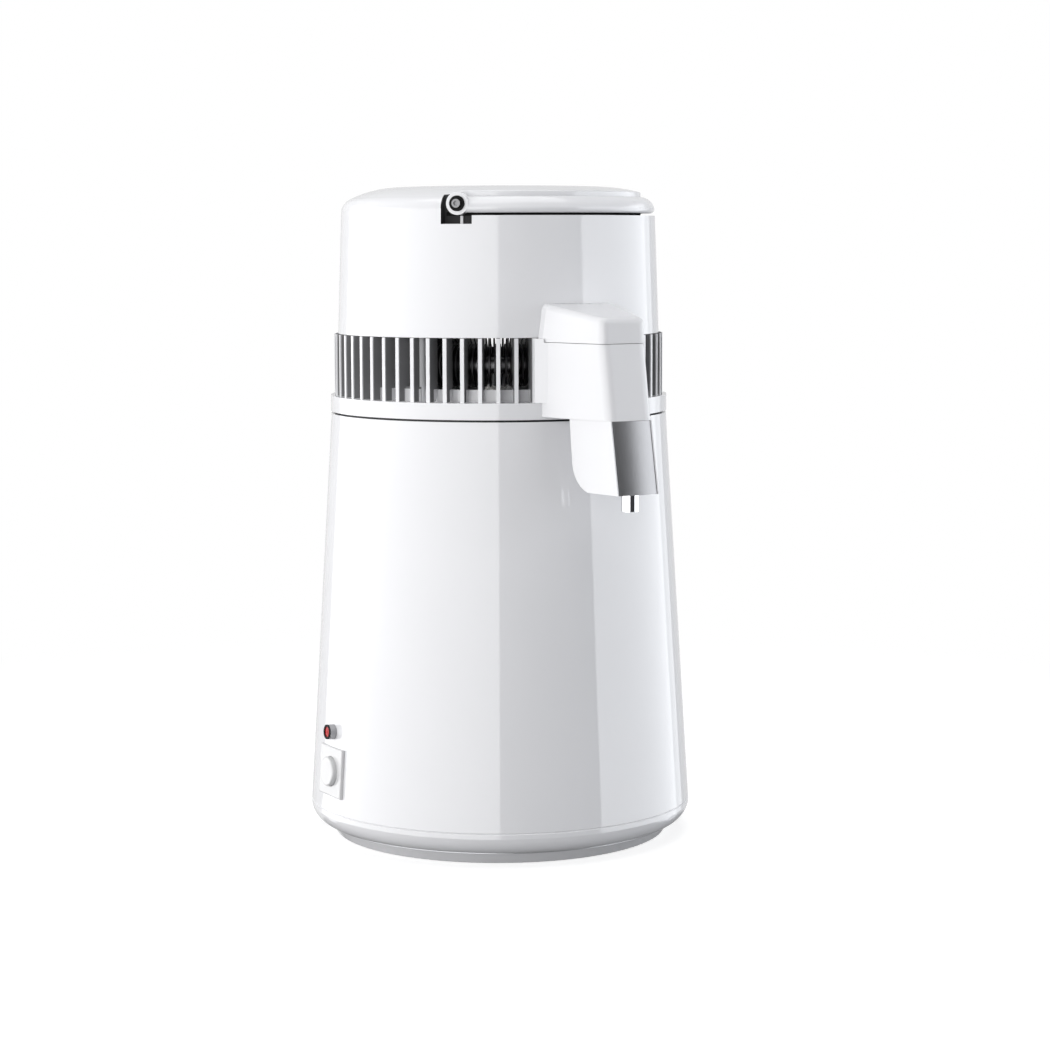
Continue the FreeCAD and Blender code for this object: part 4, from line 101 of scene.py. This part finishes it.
def area_lamp(name, centre, facing, width, height, radiance, colour=(1, 1, 1)):
    """A rectangular lamp that the camera itself doesn't see."""
    data = bpy.data.lights.new(name, "AREA")
    data.shape = "RECTANGLE"
    data.size, data.size_y = width, height
    data.energy = radiance * width * height * RADIANCE_TO_WATT
    data.color = colour
    lamp = bpy.data.objects.new(name, data)
    scene.collection.objects.link(lamp)
    lamp.location = centre
    lamp.rotation_mode = "QUATERNION"
    lamp.rotation_quaternion = facing.to_track_quat("-Z", "Y")
    lamp.visible_camera = False


print("radiance 1 takes", round(RADIANCE_TO_WATT, 3), "watts from a square metre")

# %% [markdown]
# ### Softbox walls
#
# Gloss only shows when there is something to reflect. A tall softbox wall runs from right beside the camera
# round the left of the machine, and a second, slightly cooler wall stands to its right. The stretch between
# them stays free for a dark card. Past each wall's far end stands one dimmer lamp, so that the outermost edges of
# the machine turn a soft grey and part from the white ground.
#
# A curved mesh that glows could do the same, but flat area lamps set round a circle, edge to edge, give much
# less noise. The walls reach down past the floor: their lower edge then stays off the body in a view from
# higher up.

# %% Softbox walls
WALL_DISTANCE = 2.0
WALL_FOOT, WALL_TOP = -0.95, 1.15
LEFT_FROM, LEFT_TO, LEFT_END_TO = 0, -126, -136
RIGHT_FROM, RIGHT_TO, RIGHT_END_TO = 61, 132, 142
LEFT_LIGHT, LEFT_END_LIGHT = 2.68, 1.5
RIGHT_LIGHT, RIGHT_END_LIGHT = 2.4, 1.1
WALL_PANELS = 3
COOL_WHITE = (0.94, 0.965, 1.0)
TOP_HEIGHT, TOP_SIDE, TOP_LIGHT = 2.2, 1.8, 1.9


def softbox_wall(name, start, stop, radiance, colour=(1, 1, 1), panels=1):
    """Flat lamps edge to edge round part of a circle, from one turn to another."""
    step = (stop - start) / panels
    width = 2 * WALL_DISTANCE * math.tan(math.radians(abs(step) / 2))
    for index in range(panels):
        out = direction(start + step * (index + 0.5))
        centre = out * WALL_DISTANCE + Vector((0, 0, (WALL_FOOT + WALL_TOP) / 2))
        area_lamp(f"{name}_{index}", centre, -out, width, WALL_TOP - WALL_FOOT, radiance, colour)
    print(name, panels, "lamps of", round(width, 2), "by", round(WALL_TOP - WALL_FOOT, 2), "m")


softbox_wall("left_wall", LEFT_FROM, LEFT_TO, LEFT_LIGHT, panels=WALL_PANELS)
softbox_wall("left_end", LEFT_TO, LEFT_END_TO, LEFT_END_LIGHT)
softbox_wall("right_wall", RIGHT_FROM, RIGHT_TO, RIGHT_LIGHT, COOL_WHITE, WALL_PANELS)
softbox_wall("right_end", RIGHT_TO, RIGHT_END_TO, RIGHT_END_LIGHT, COOL_WHITE)
area_lamp("top_panel", Vector((0, 0, TOP_HEIGHT)), Vector((0, 0, -1)), TOP_SIDE, TOP_SIDE, TOP_LIGHT)

# %% [markdown]
# ### Cards
#
# The stretch between the two walls is closed by a dark card. Where a glossy wall of the machine turns from a
# lamp to the card, its reflection ends in a clean upright line, which is what makes white paint look wet and
# smooth. A second card lies level with the walls' feet: the skirt's lip and the plinth mirror it from below, as
# they would mirror a table in its own shade.
#
# Each card is one plain face with an Emission shader, hidden from every ray but the glossy ones. Real boards
# lit by the lamps would do too, but then every change to a lamp would change the cards as well.

# %% Plain faces and node trees


def plain_plane(name, corners):
    """One four-cornered face that belongs to the stage, not to the machine."""
    mesh = bpy.data.meshes.new(name)
    mesh.from_pydata(corners, [], [(0, 1, 2, 3)])
    plane = bpy.data.objects.new(name, mesh)
    scene.collection.objects.link(plane)
    return plane


def level_square(reach, height):
    return [(-reach, -reach, height), (reach, -reach, height), (reach, reach, height), (-reach, reach, height)]


def node_tree(owner):
    """The emptied node tree of a material or a world."""
    owner.use_nodes = True
    tree = owner.node_tree
    tree.nodes.clear()
    return tree


def add_node(tree, kind, values=None):
    """A new node, with some of its input sockets set by name."""
    node = tree.nodes.new(kind)
    for socket, value in (values or {}).items():
        node.inputs[socket].default_value = value
    return node


print("faces and trees ready")

# %% Cards
CARD_PANELS = 2
CARD_SHADE = (0.05, 0.05, 0.055)
UNDER_REACH = 2.4
UNDER_SHADE = (0.22, 0.22, 0.225)


def reflected_card(name, corners, shade):
    """A plain card that only reflections see."""
    card = plain_plane(name, corners)
    material = bpy.data.materials.new(name)
    tree = node_tree(material)
    glow = add_node(tree, "ShaderNodeEmission", {"Color": (*shade, 1)})
    out = add_node(tree, "ShaderNodeOutputMaterial")
    tree.links.new(glow.outputs[0], out.inputs["Surface"])
    card.data.materials.append(material)
    card.visible_camera = False
    card.visible_diffuse = False
    card.visible_shadow = False
    card.visible_transmission = False


def dark_cards():
    """Upright cards edge to edge between the lamp walls."""
    step = (RIGHT_FROM - LEFT_FROM) / CARD_PANELS
    reach = WALL_DISTANCE / math.cos(math.radians(step / 2))
    for index in range(CARD_PANELS):
        left = direction(LEFT_FROM + step * index) * reach
        right = direction(LEFT_FROM + step * (index + 1)) * reach
        reflected_card(f"dark_card_{index}", [
            (left.x, left.y, WALL_FOOT), (right.x, right.y, WALL_FOOT),
            (right.x, right.y, WALL_TOP), (left.x, left.y, WALL_TOP)], CARD_SHADE)
    print(CARD_PANELS, "dark cards of", round(step, 1), "degrees")


dark_cards()
reflected_card("under_card", level_square(UNDER_REACH, WALL_FOOT), UNDER_SHADE)

# %% [markdown]
# ### Floor
#
# To the eye the floor is white, apart from the soft shadow near the machine's foot. A diffuse floor lit until
# it turned white would throw too much light up at the machine. So the kinds of ray are told apart with a Light
# Path node: the camera sees a diffuse surface with some glow of its own, which fades into pure white farther out,
# and all other rays meet a plain grey. Reflections don't see the floor at all, because they have the card below.

# %% Pale floor
FLOOR_REACH = 1.5
SHADOW_NEAR, SHADOW_FAR = 0.35, 0.75
FLOOR_BOUNCE = (0.35, 0.35, 0.355)
FLOOR_SEEN = (0.45, 0.45, 0.45)
FLOOR_GLOW = 0.72


def distance_ramp(tree, near, far):
    """0 within near metres of the machine's middle, 1 beyond far, smooth between."""
    place = add_node(tree, "ShaderNodeTexCoord")
    length = add_node(tree, "ShaderNodeVectorMath")
    length.operation = "LENGTH"
    ramp = add_node(tree, "ShaderNodeMapRange", {"From Min": near, "From Max": far})
    ramp.interpolation_type = "SMOOTHSTEP"
    tree.links.new(place.outputs["Object"], length.inputs[0])
    tree.links.new(length.outputs["Value"], ramp.inputs["Value"])
    return ramp.outputs["Result"]


def choose(tree, choice, other, chosen):
    """A shader that goes from one shader to another as the choice goes from 0 to 1."""
    mix = add_node(tree, "ShaderNodeMixShader")
    for socket, source in zip(mix.inputs, (choice, other, chosen)):
        tree.links.new(source, socket)
    return mix.outputs[0]


def pale_floor():
    """White to the eye, apart from the shadow that the machine throws near its foot."""
    floor = plain_plane("floor", level_square(FLOOR_REACH, 0))
    material = bpy.data.materials.new("pale_floor")
    tree = node_tree(material)
    path = add_node(tree, "ShaderNodeLightPath")
    bounce = add_node(tree, "ShaderNodeBsdfDiffuse", {"Color": (*FLOOR_BOUNCE, 1)})
    seen = add_node(tree, "ShaderNodeBsdfDiffuse", {"Color": (*FLOOR_SEEN, 1)})
    glow = add_node(tree, "ShaderNodeEmission", {"Strength": FLOOR_GLOW})
    white = add_node(tree, "ShaderNodeEmission")
    both = add_node(tree, "ShaderNodeAddShader")
    tree.links.new(seen.outputs[0], both.inputs[0])
    tree.links.new(glow.outputs[0], both.inputs[1])
    faded = choose(tree, distance_ramp(tree, SHADOW_NEAR, SHADOW_FAR), both.outputs[0], white.outputs[0])
    out = add_node(tree, "ShaderNodeOutputMaterial")
    tree.links.new(choose(tree, path.outputs["Is Camera Ray"], bounce.outputs[0], faded), out.inputs["Surface"])
    floor.data.materials.append(material)
    floor.visible_glossy = False


pale_floor()
print("floor", 2 * FLOOR_REACH, "m wide")

# %% [markdown]
# ### World
#
# The world is white to the camera and rather bright in reflections, as a white room is. Diffuse surfaces get
# only a dim, even fill from it, so that the lamps can model the shapes. An HDR picture of a real studio is the
# usual way, but three plain Background shaders do here, because nothing in the room needs to be told apart.

# %% White world
FILL = (0.25, 0.255, 0.265)
WHITE = (1, 1, 1)
ROOM_GLOSS = 0.75


def background(tree, colour, strength=1.0):
    return add_node(tree, "ShaderNodeBackground", {"Color": (*colour, 1), "Strength": strength}).outputs[0]


def white_world():
    """White to the camera, bright to reflections, dim to everything else."""
    world = bpy.data.worlds.new("studio")
    scene.world = world
    tree = node_tree(world)
    path = add_node(tree, "ShaderNodeLightPath")
    lit = choose(tree, path.outputs["Is Glossy Ray"], background(tree, FILL), background(tree, WHITE, ROOM_GLOSS))
    out = add_node(tree, "ShaderNodeOutputWorld")
    tree.links.new(choose(tree, path.outputs["Is Camera Ray"], lit, background(tree, WHITE)), out.inputs["Surface"])


white_world()
print("studio ready with", len(bpy.data.lights), "lamps")

# %% [markdown]
# ## Finishes
#
# Every finish starts from the same recipe: one Principled shader, a fine noise that varies its roughness a
# little, as handling and moulding do, and a Bump node that lifts the surface by a few hundredths of a
# millimetre with the same noise. Scanned textures could give this too, but a noise has no seams and stays sharp
# up close. It reads Object coordinates, so it stays at the real scale and needs no unwrapping. What makes a
# finish its own is the size of the grain, its direction and how strongly it shows.

# %% Grain and mottle
GRAIN_DETAIL = 4
GRAIN_HEIGHT = 0.0004
PATCHES_PER_METRE = 22
PATCH_DETAIL = 3
PATCH_DARK, PATCH_PLAIN = 0.35, 0.65


def grain_noise(tree, grain, stretch):
    """A fine noise, and the stretched coordinates that it reads."""
    place = add_node(tree, "ShaderNodeTexCoord")
    scale = add_node(tree, "ShaderNodeMapping", {"Scale": stretch})
    noise = add_node(tree, "ShaderNodeTexNoise", {"Scale": grain, "Detail": GRAIN_DETAIL})
    tree.links.new(place.outputs["Object"], scale.inputs["Vector"])
    tree.links.new(scale.outputs["Vector"], noise.inputs["Vector"])
    return noise.outputs["Fac"], scale.outputs["Vector"]


def mottle(tree, shader, where, colour, tint):
    """Broad, faint patches of a darker tone."""
    broad = add_node(tree, "ShaderNodeTexNoise", {"Scale": PATCHES_PER_METRE, "Detail": PATCH_DETAIL})
    ramp = add_node(tree, "ShaderNodeValToRGB")
    dark, plain = ramp.color_ramp.elements
    dark.position, plain.position = PATCH_DARK, PATCH_PLAIN
    dark.color = (*(channel * (1 - tint) for channel in colour), 1)
    plain.color = (*colour, 1)
    tree.links.new(where, broad.inputs["Vector"])
    tree.links.new(broad.outputs["Fac"], ramp.inputs["Fac"])
    tree.links.new(ramp.outputs["Color"], shader.inputs["Base Color"])


print("grain", GRAIN_HEIGHT * 1000, "mm high at full lift")

# %% [markdown]
# ### The recipe
#
# A node group could hold the recipe once for all materials. But a value that reaches the shader through a group
# is easily lost on export, so a function builds the few nodes anew for each finish. It takes the colour, the
# roughness and how metallic the surface is, then the grain, and keeps the material under its slot's name.

# %% The recipe
finishes = {}


def finish(slot, colour, roughness, metallic=0.0, grain=400.0, stretch=(1, 1, 1), lift=0.02, vary=0.15, tint=0.0,
           ior=1.5):
    """A material with its own grain, in waves per metre, squeezed along an axis by stretch."""
    material = bpy.data.materials.new(slot + "_finish")
    tree = node_tree(material)
    shader = add_node(tree, "ShaderNodeBsdfPrincipled", {
        "Base Color": (*colour, 1), "Metallic": metallic, "IOR": ior})
    out = add_node(tree, "ShaderNodeOutputMaterial")
    noise, where = grain_noise(tree, grain, stretch)
    spread = add_node(tree, "ShaderNodeMapRange", {
        "To Min": roughness * (1 - vary), "To Max": roughness * (1 + vary)})
    bump = add_node(tree, "ShaderNodeBump", {"Strength": lift, "Distance": GRAIN_HEIGHT})
    tree.links.new(noise, spread.inputs["Value"])
    tree.links.new(spread.outputs["Result"], shader.inputs["Roughness"])
    tree.links.new(noise, bump.inputs["Height"])
    tree.links.new(bump.outputs["Normal"], shader.inputs["Normal"])
    tree.links.new(shader.outputs[0], out.inputs["Surface"])
    if tint:
        mottle(tree, shader, where, colour, tint)
    finishes[slot] = material
    return tree, shader


print("recipe ready")

# %% [markdown]
# ### Plastics, enamel and rubber
#
# The base's wall is enamelled steel: very smooth, with the faint orange peel that a sprayed coat leaves. The
# head and the handle are injection moulded and almost as glossy. The spout's mouldings are satin, and so is the
# control plate, which is a shade greyer. Rubber and silicone are matt and dark.
#
# White paint reflects about four fifths of the light. A base colour of pure white would glow under the lamps and
# hide the shapes, so the whites stay near 0.8 and the gloss does the rest.

# %% Plastics, enamel and rubber
GLOSSY_WHITE = (0.80, 0.80, 0.815)

finish("white_shell", GLOSSY_WHITE, 0.045, grain=140, lift=0.015, tint=0.01)
finish("white_plastic", GLOSSY_WHITE, 0.09, grain=320, lift=0.01, tint=0.012, vary=0.1)
finish("moulded_white", (0.775, 0.775, 0.79), 0.24, grain=500, lift=0.012, tint=0.012)
finish("control_white", (0.64, 0.64, 0.645), 0.22, grain=900, lift=0.05, tint=0.02)
finish("black_plastic", (0.012, 0.012, 0.013), 0.35, grain=1200, lift=0.12, tint=0.3)
finish("grey_plastic", (0.16, 0.165, 0.17), 0.38, grain=1000, lift=0.1, tint=0.15)
finish("rubber", (0.018, 0.018, 0.018), 0.75, grain=1500, lift=0.3, tint=0.3)
finish("matt_black", (0.008, 0.008, 0.0085), 0.6, grain=1400, lift=0.15, tint=0.3, ior=1.2)
finish("silicone", (0.03, 0.03, 0.032), 0.45, grain=600, lift=0.08, tint=0.2)
print(len(finishes), "finishes")

# %% [markdown]
# ### Metals
#
# Spun and brushed steel has long fine scratches, so its grain is squeezed along one axis. Chrome has nearly
# none. Cast aluminium is duller, the condenser's fins are lacquered black, and zinc plating has soft grey
# patches. The scratches could be drawn one by one with a wave texture, but at this size only their direction
# shows, and the squeezed noise gives that.

# %% Metals
finish("stainless", (0.60, 0.59, 0.57), 0.26, 1.0, grain=260, stretch=(1, 1, 14), lift=0.06, tint=0.05)
finish("zinc_steel", (0.52, 0.53, 0.55), 0.36, 1.0, grain=500, lift=0.08, tint=0.14)
finish("aluminium", (0.72, 0.73, 0.74), 0.33, 1.0, grain=700, stretch=(1, 1, 5), lift=0.08, tint=0.06)
finish("chrome", (0.80, 0.80, 0.82), 0.05, 1.0, grain=300, lift=0.01, tint=0.02)
finish("dark_chrome", (0.42, 0.42, 0.43), 0.16, 1.0, grain=500, lift=0.02, tint=0.04)
finish("dark_steel", (0.15, 0.15, 0.155), 0.38, 1.0, grain=700, lift=0.06, tint=0.1)
finish("satin_steel", (0.29, 0.29, 0.298), 0.36, 1.0, grain=420, stretch=(3, 3, 0.25), lift=0.08, tint=0.04)
finish("black_fins", (0.022, 0.022, 0.024), 0.34, 0.3, grain=800, lift=0.05, tint=0.1)
finish("brass", (0.66, 0.49, 0.22), 0.28, 1.0, grain=600, lift=0.05, tint=0.1)
print(len(finishes), "finishes")

# %% [markdown]
# ### Lamp lens and carbon
#
# The lens is clear red plastic, so some light passes through it and meets the black holder behind.
#
# The carbon is a bed of small black grains. Thousands of small solids would be heavy and are hidden under a lid
# anyway. A cell pattern in the Bump node lifts each grain on its own, where a noise would only make the bed rough.

# %% Lens and carbon
LENS_CLEARNESS = 0.25
CELLS_PER_METRE = 700
CELL_LIFT = 0.9


def red_lens():
    _, shader = finish("red_lens", (0.60, 0.008, 0.01), 0.18, grain=900, lift=0.03, ior=1.25)
    shader.inputs["Transmission Weight"].default_value = LENS_CLEARNESS


def carbon():
    tree, _ = finish("carbon", (0.012, 0.012, 0.013), 0.5, lift=CELL_LIFT, tint=0.3)
    cells = add_node(tree, "ShaderNodeTexVoronoi", {"Scale": CELLS_PER_METRE})
    place = next(node for node in tree.nodes if node.type == "TEX_COORD")
    bump = next(node for node in tree.nodes if node.type == "BUMP")
    bump.invert = True
    tree.links.new(place.outputs["Object"], cells.inputs["Vector"])
    tree.links.new(cells.outputs["Distance"], bump.inputs["Height"])


red_lens()
carbon()
print(len(finishes), "finishes")

# %% [markdown]
# ### Painted shade in deep places
#
# Some deep places of the white mouldings get painted shade: the flanks of the louvre blades, the notch round each
# pivot and the joint line under the handle. The plastic is white there as well; the dark grey is painted shade.
# Vertex paint could mark these places, but it would have to be redone after each change of the solids. Here a mask
# made of plain sums on Object coordinates is 1 in those places and 0 elsewhere, and it turns the white to a dark
# grey, painted shade.
# Each sum is one Math node.

# %% Sums on a place


def math_node(tree, operation, *values):
    """A Math node; a value is a number or another node's output."""
    node = add_node(tree, "ShaderNodeMath")
    node.operation = operation
    for socket, value in zip(node.inputs, values):
        if isinstance(value, (int, float)):
            socket.default_value = value
        else:
            tree.links.new(value, socket)
    return node.outputs[0]


def along(tree, axis):
    """How far a place lies along an axis through the origin."""
    place = add_node(tree, "ShaderNodeTexCoord")
    dot = add_node(tree, "ShaderNodeVectorMath")
    dot.operation = "DOT_PRODUCT"
    dot.inputs[1].default_value = axis
    tree.links.new(place.outputs["Object"], dot.inputs[0])
    return dot.outputs["Value"]


def distance_to(tree, across, deep):
    """How far a place is from a line, given how far it is in two directions."""
    squares = math_node(tree, "ADD", math_node(tree, "POWER", across, 2), math_node(tree, "POWER", deep, 2))
    return math_node(tree, "SQRT", squares)


def between(tree, value, low, high):
    """1 where the value lies between the two limits, 0 elsewhere."""
    return math_node(tree, "COMPARE", value, (low + high) / 2, (high - low) / 2)


def all_of(tree, mask, *others):
    """1 where all the masks are 1."""
    for other in others:
        mask = math_node(tree, "MULTIPLY", mask, other)
    return mask


def outside(tree, mask):
    """1 where the mask is 0."""
    return math_node(tree, "SUBTRACT", 1, mask)


print("sums ready")

# %% [markdown]
# ### Darkening with painted shade
#
# A mask could mix two whole shaders, but one Principled shader is easier to export. So the mask mixes a dark
# painted shade over the base colour. It also takes the shine away by lowering the specular level, so the painted
# shade carries no reflection either, as a deep joint in shade has nothing bright to mirror.

# %% Darken
# A Mix node has these sockets once for each type of data; the numbers pick the ones for colours.
MIX_BEFORE, MIX_SHADE, MIX_RESULT = 6, 7, 2


def darken(tree, shader, mask, shade):
    """Mix a painted shade over the base colour where the mask is 1, and take the shine away there."""
    # The dark colour mixed in here is painted shade, not a colour of the moulding, and the shine goes with it.
    mix = add_node(tree, "ShaderNodeMix")
    mix.data_type = "RGBA"
    colour = shader.inputs["Base Color"]
    tree.links.new(mask, mix.inputs["Factor"])
    tree.links.new(colour.links[0].from_socket, mix.inputs[MIX_BEFORE])
    mix.inputs[MIX_SHADE].default_value = (*shade, 1)
    tree.links.new(mix.outputs[MIX_RESULT], colour)
    shine = shader.inputs["Specular IOR Level"]
    before = shine.links[0].from_socket if shine.links else shine.default_value
    tree.links.new(math_node(tree, "MULTIPLY", before, outside(tree, mask)), shine)


print("darkening ready")

# %% [markdown]
# ### Louvres
#
# The vent ring is one moulding: upright blades, and behind them four screw posts with a low block at each foot.
# From outside, the blades' front edges are white and their flanks lie in shade. Lamps alone would leave the flanks
# pale, because white plastic throws so much light about, so the shade on the flanks is painted: the mask is 1
# behind the blades' front faces, both over the blocks and in front of them, and 0 on the posts and on the blocks
# themselves, which stay white. Where it is 1, the white turns to a painted dark grey.

# %% Louvres with painted shade on the flanks
BLADE_FACE, BLOCK_FACE = 0.0952, 0.0905
BLADE_FOOT, BLOCK_TOP, BLADE_HEAD = 0.2584, 0.2653, 0.2941
POST_CIRCLE, POST_RADIUS = 0.0865, 0.0036
POST_TURN = math.radians(-149.3)
# Painted shade: the dark grey that the blade flanks get, standing in for the shade between the blades.
FLANK_PAINTED_SHADE = (0.22, 0.22, 0.225)


def post_mask(tree):
    """1 inside the four posts, which stand on two crossed lines."""
    first = math_node(tree, "ABSOLUTE", along(tree, (math.cos(POST_TURN), math.sin(POST_TURN), 0)))
    second = math_node(tree, "ABSOLUTE", along(tree, (-math.sin(POST_TURN), math.cos(POST_TURN), 0)))
    outward = math_node(tree, "SUBTRACT", math_node(tree, "MAXIMUM", first, second), POST_CIRCLE)
    sideways = math_node(tree, "MINIMUM", first, second)
    return math_node(tree, "LESS_THAN", distance_to(tree, outward, sideways), POST_RADIUS)


def louvre_white_painted_shade():
    tree, shader = finish("louvre_white_painted_shade", GLOSSY_WHITE, 0.08, grain=320, lift=0.02, tint=0.012)
    x, y, z = (along(tree, axis) for axis in ((1, 0, 0), (0, 1, 0), (0, 0, 1)))
    radius = distance_to(tree, x, y)
    behind_face = math_node(tree, "LESS_THAN", radius, BLADE_FACE)
    over_block = between(tree, z, BLOCK_TOP, BLADE_HEAD)
    before_block = all_of(tree, math_node(tree, "GREATER_THAN", radius, BLOCK_FACE),
                          between(tree, z, BLADE_FOOT, BLADE_HEAD))
    deep = math_node(tree, "MAXIMUM", over_block, before_block)
    # Painted shade on the flanks, over the white moulding.
    darken(tree, shader, all_of(tree, behind_face, outside(tree, post_mask(tree)), deep), FLANK_PAINTED_SHADE)


louvre_white_painted_shade()
print("louvre finish")

# %% [markdown]
# ### Head
#
# The handle's two pivots stand in notches of the head, and a thin gap runs under the handle from one notch to
# the other. Both are moulded white but lie in deep shade, and that shade is painted: a mask turns the white there
# to a dark grey. A notch is a box turned to the pivots' direction, less a thin rib inside it and less the place
# where the crown begins. The joint is a thin ring, painted nearly black as a shadow line.

# %% Head with painted shade in the notches and a painted shadow under the handle
HINGE_TURN = math.radians(136.9)
NOTCH_DEPTH = (0.0828, 0.0906)
NOTCH_WIDTH = (-0.0086, 0.0095)
NOTCH_HEIGHT = (0.3563, 0.3760)
CROWN_FOOT = 0.3695
RIB_DEPTH, RIB_WIDTH = 0.0841, (-0.0016, 0.0001)
JOINT_RADIUS, JOINT_HEIGHT = (0.0826, 0.0834), (0.3610, 0.3630)
# Painted shade: the dark grey inside each pivot notch.
NOTCH_PAINTED_SHADE = (0.06, 0.06, 0.062)
# Painted shadow: the near black of the joint line under the handle.
JOINT_PAINTED_SHADOW = (0.02, 0.02, 0.02)


def notch_mask(tree, z):
    outward = math_node(tree, "ABSOLUTE", along(tree, (-math.sin(HINGE_TURN), math.cos(HINGE_TURN), 0)))
    across = along(tree, (math.cos(HINGE_TURN), math.sin(HINGE_TURN), 0))
    rib = all_of(tree, between(tree, across, *RIB_WIDTH), math_node(tree, "LESS_THAN", outward, RIB_DEPTH))
    crown = all_of(tree, math_node(tree, "LESS_THAN", across, 0), math_node(tree, "GREATER_THAN", z, CROWN_FOOT))
    return all_of(tree, between(tree, outward, *NOTCH_DEPTH), between(tree, across, *NOTCH_WIDTH),
                  between(tree, z, *NOTCH_HEIGHT), outside(tree, rib), outside(tree, crown))


def joint_mask(tree, z):
    radius = distance_to(tree, along(tree, (1, 0, 0)), along(tree, (0, 1, 0)))
    return all_of(tree, between(tree, radius, *JOINT_RADIUS), between(tree, z, *JOINT_HEIGHT))


def head_white_painted_shade():
    tree, shader = finish("head_white_painted_shade", GLOSSY_WHITE, 0.08, grain=320, lift=0.02, tint=0.012)
    z = along(tree, (0, 0, 1))
    # Painted shade in the notches, then a painted shadow along the joint under the handle.
    darken(tree, shader, notch_mask(tree, z), NOTCH_PAINTED_SHADE)
    darken(tree, shader, joint_mask(tree, z), JOINT_PAINTED_SHADOW)


head_white_painted_shade()
print("head finish")

# %% [markdown]
# ## Dressing the solids
#
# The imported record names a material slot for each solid, and each object's slot gets the finish of that name. A
# few pieces have a finish of their own. Joining the solids by finish would save objects, but then they could no
# longer move on their joints, so every piece keeps its own.

# %% Dress every solid
own_finish = {
    "vent_ring": "louvre_white_painted_shade", "head_shell": "head_white_painted_shade", "spout_body": "moulded_white",
    "spout_lid": "moulded_white", "spout_shroud": "moulded_white", "pivot_screws": "dark_steel",
    "pivot_bushes": "matt_black", "lamp_bezel": "dark_chrome", "lamp_holder": "matt_black",
    "condenser_coil": "dark_steel"}
slot_of = {part["node"]: part["material_slot"] for part in frame["record"]["subparts"]}
for name, obj in nodes.items():
    for holder in obj.material_slots:
        holder.material = finishes[own_finish.get(name, slot_of[name])]
print("dressed", len(slot_of), "solids,", len(own_finish), "with a finish of their own")
